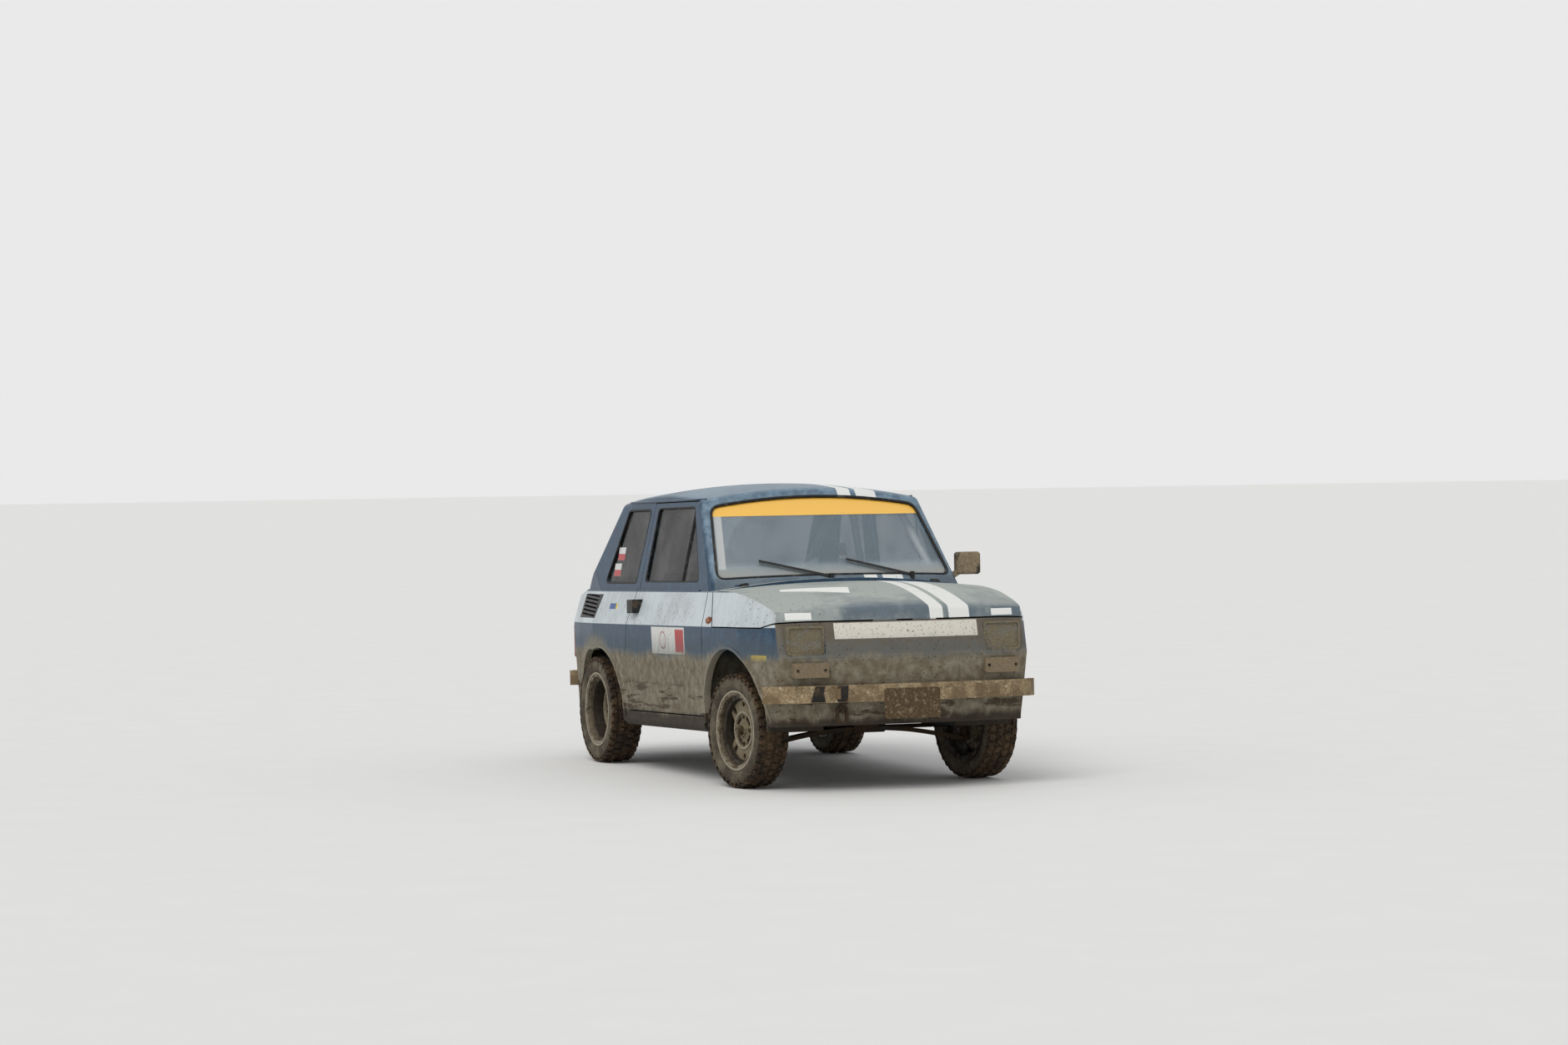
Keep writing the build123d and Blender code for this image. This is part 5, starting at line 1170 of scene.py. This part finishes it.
lie = stone_recipe.node("FunctionNodeRandomValue", {"data_type": "FLOAT_VECTOR"},
                        {0: (0, 0, 0), 1: (6.3, 6.3, 6.3), "Seed": seed})
stone_recipe.end(stone_recipe.node("GeometryNodeInstanceOnPoints", sockets={
    "Points": spread, "Instance": stone, "Rotation": lie, "Scale": shape}))

# %% Stones in the mud
bar_xs = range(-550, 551, 50)
laid_rows = [[at(x, bumper_y(x) + 0.5, z) for x in bar_xs] for z in (400, 430, 471)]
laid_rows.append([at(x, bumper_y(x) + BUMPER_DEPTH - 2, BUMPER_Z[1]) for x in bar_xs])
laid = mesh_of("sheet", [p for row in laid_rows for p in row], quads(len(laid_rows), len(bar_xs), False, False))
grit_look = caked("grit", tint(176, 162, 136), tint(104, 86, 62), 0.55, 0.8, scale=60)
stones = grown(laid, stone_recipe, grit_look, Density=4200.0, Smallest=0.0008, Largest=0.0034, Seed=4)
one_piece("bumper_stones", [stones], grit_look, "body", 40)
print("stones", len(stones.polygons) // 20)

# %% [markdown]
# ## Rails and dividers
# A drip rail runs over each door, and a slim bar parts the quarter light at the front of each door window. Both are
# beads along a path.

# %% Drip rails and quarter lights
RAIL_HEIGHT = 1327
BAR_FOOT, BAR_HEAD, BAR_STEPS = (704, 944), (640, 1288), 8
for name, side in SIDES:
    hits = [on_skin(at(side * 800, y, RAIL_HEIGHT), (-side, 0, 0)) for y in range(600, 1620, 40)]
    rail = [place + outward * 0.0015 for place, outward in hits if place is not None]
    bead(f"drip_rail_{name}", rail, 0.0055, body_paint, "body", closed=False, flat=0.9)
    line = [Vector(BAR_HEAD).lerp(Vector(BAR_FOOT), k / BAR_STEPS) for k in range(BAR_STEPS + 1)]
    bar = [side_point(side, *p, inset=7) for p in line]
    bead(f"quarter_light_bar_{name}", bar, 0.0075, seal_rubber, f"door_{name}", closed=False, flat=0.5)
print("rails ready")

# %% [markdown]
# ## Seat pads
# The bucket shells carry loose pads of foam in cloth. A pad starts as a soft-edged slab. Blender's cloth blows it up
# a little, so its faces crown and its sides pull in between the corners, as a sewn cover does.

# %% Seat cloth
fabric = Look("seat_cloth", Roughness=0.95, Specular_IOR_Level=0.2)
weft = fabric.noise(1, 2, 0.5, where=fabric.vector(*[v * 700 for v in fabric.place()]))
worn_cloth = fabric.noise(16, 4)
fabric.surface(Base_Color=fabric.mix(worn_cloth.ramp(0.4, 0.7), tint(32, 34, 42), tint(62, 60, 58)),
               Normal=fabric.bump(weft, 0.0006, 0.5))
print("cloth ready")

# %% Blow a slab up
PAD_PUSH = 0.009
CLOTH_STEPS = 14


def plain_copy(thing):
    """The mesh that an object's modifiers make, as a plain mesh."""
    graph = bpy.context.evaluated_depsgraph_get()
    return bpy.data.meshes.new_from_object(thing.evaluated_get(graph), depsgraph=graph)


def slab(width, length, thick):
    """A soft-edged slab about the origin: +X across, +Y along, +Z out of the seat."""
    build = bmesh.new()
    bmesh.ops.create_cube(build, size=1)
    for v in build.verts:
        v.co = Vector((v.co.x * width, v.co.y * length, v.co.z * thick))
    bmesh.ops.bevel(build, geom=build.edges[:], offset=thick * 0.32, segments=3, affect="EDGES")
    return mesh_from(build, "pad")


def stuffed(mesh):
    """The slab blown up by cloth under pressure, with no point moved further than PAD_PUSH."""
    scene = bpy.context.scene
    pad = bpy.data.objects.new("pad", mesh)
    scene.collection.objects.link(pad)
    even = pad.modifiers.new("even", "REMESH")
    even.mode, even.voxel_size = "VOXEL", 0.008
    pad_skin = plain_copy(pad)
    pad.modifiers.remove(even)
    pad.data = pad_skin
    before = [v.co.copy() for v in pad_skin.vertices]
    cloth = pad.modifiers.new("cloth", "CLOTH")
    cloth.settings.use_pressure = True
    cloth.settings.uniform_pressure_force = 4
    cloth.settings.effector_weights.gravity = 0
    for step in range(1, CLOTH_STEPS + 1):
        scene.frame_set(step)
    blown = plain_copy(pad)
    scene.frame_set(1)
    bpy.data.objects.remove(pad)
    for v, start in zip(blown.vertices, before):
        shift = v.co - start
        if shift.length > PAD_PUSH:
            v.co = start + shift.normalized() * PAD_PUSH
    return blown


print("cloth steps", CLOTH_STEPS)

# %% Pads on the seats
SEAT_X = 300
PAD_THICK, PAD_LIFT = 0.034, 25
PADS = {"base": (0.31, 0.215, (843, 438), (0.9942, -0.1073)),
        "back": (0.31, 0.17, (1068, 536), (0.447, 0.894)),
        "shoulders": (0.3, 0.27, (1168, 808), (0.273, 0.962))}
tip = Matrix.Rotation(-RAKE, 3, "X")
for label, (width, length, (y, z), (run_y, run_z)) in PADS.items():
    blown = stuffed(slab(width, length, PAD_THICK))
    along = Vector((0, run_y, run_z))
    outward = Vector((1, 0, 0)).cross(along)
    if outward.z < 0:
        outward = -outward
    for name, side in SIDES:
        place = standing(at(*(Vector((side * SEAT_X, y, z)) + outward * PAD_LIFT)), tip @ outward, tip @ along)
        cushion = one_piece(f"seat_pad_{label}_{name}", [blown], fabric, "body", 60, place)
    print("pad", label, len(blown.polygons), "faces")

# %% [markdown]
# ## Floor
# The floor is a pale sheet that runs out of sight. It belongs to the picture and not to the car.

# %% Floor
REACH = 120
floor_paint = Look("pale_floor", Roughness=0.85)
speck = floor_paint.noise(3, 3)
floor_paint.surface(Base_Color=floor_paint.mix(speck, tint(226, 226, 224), tint(232, 232, 230)))
corners = [(-REACH, -REACH, 0), (REACH, -REACH, 0), (REACH, REACH, 0), (-REACH, REACH, 0)]
floor = bpy.data.objects.new("floor", mesh_of("floor", corners, [(0, 1, 2, 3)]))
floor.data.materials.append(floor_paint.material)
bpy.context.scene.collection.objects.link(floor)
print("floor ready")
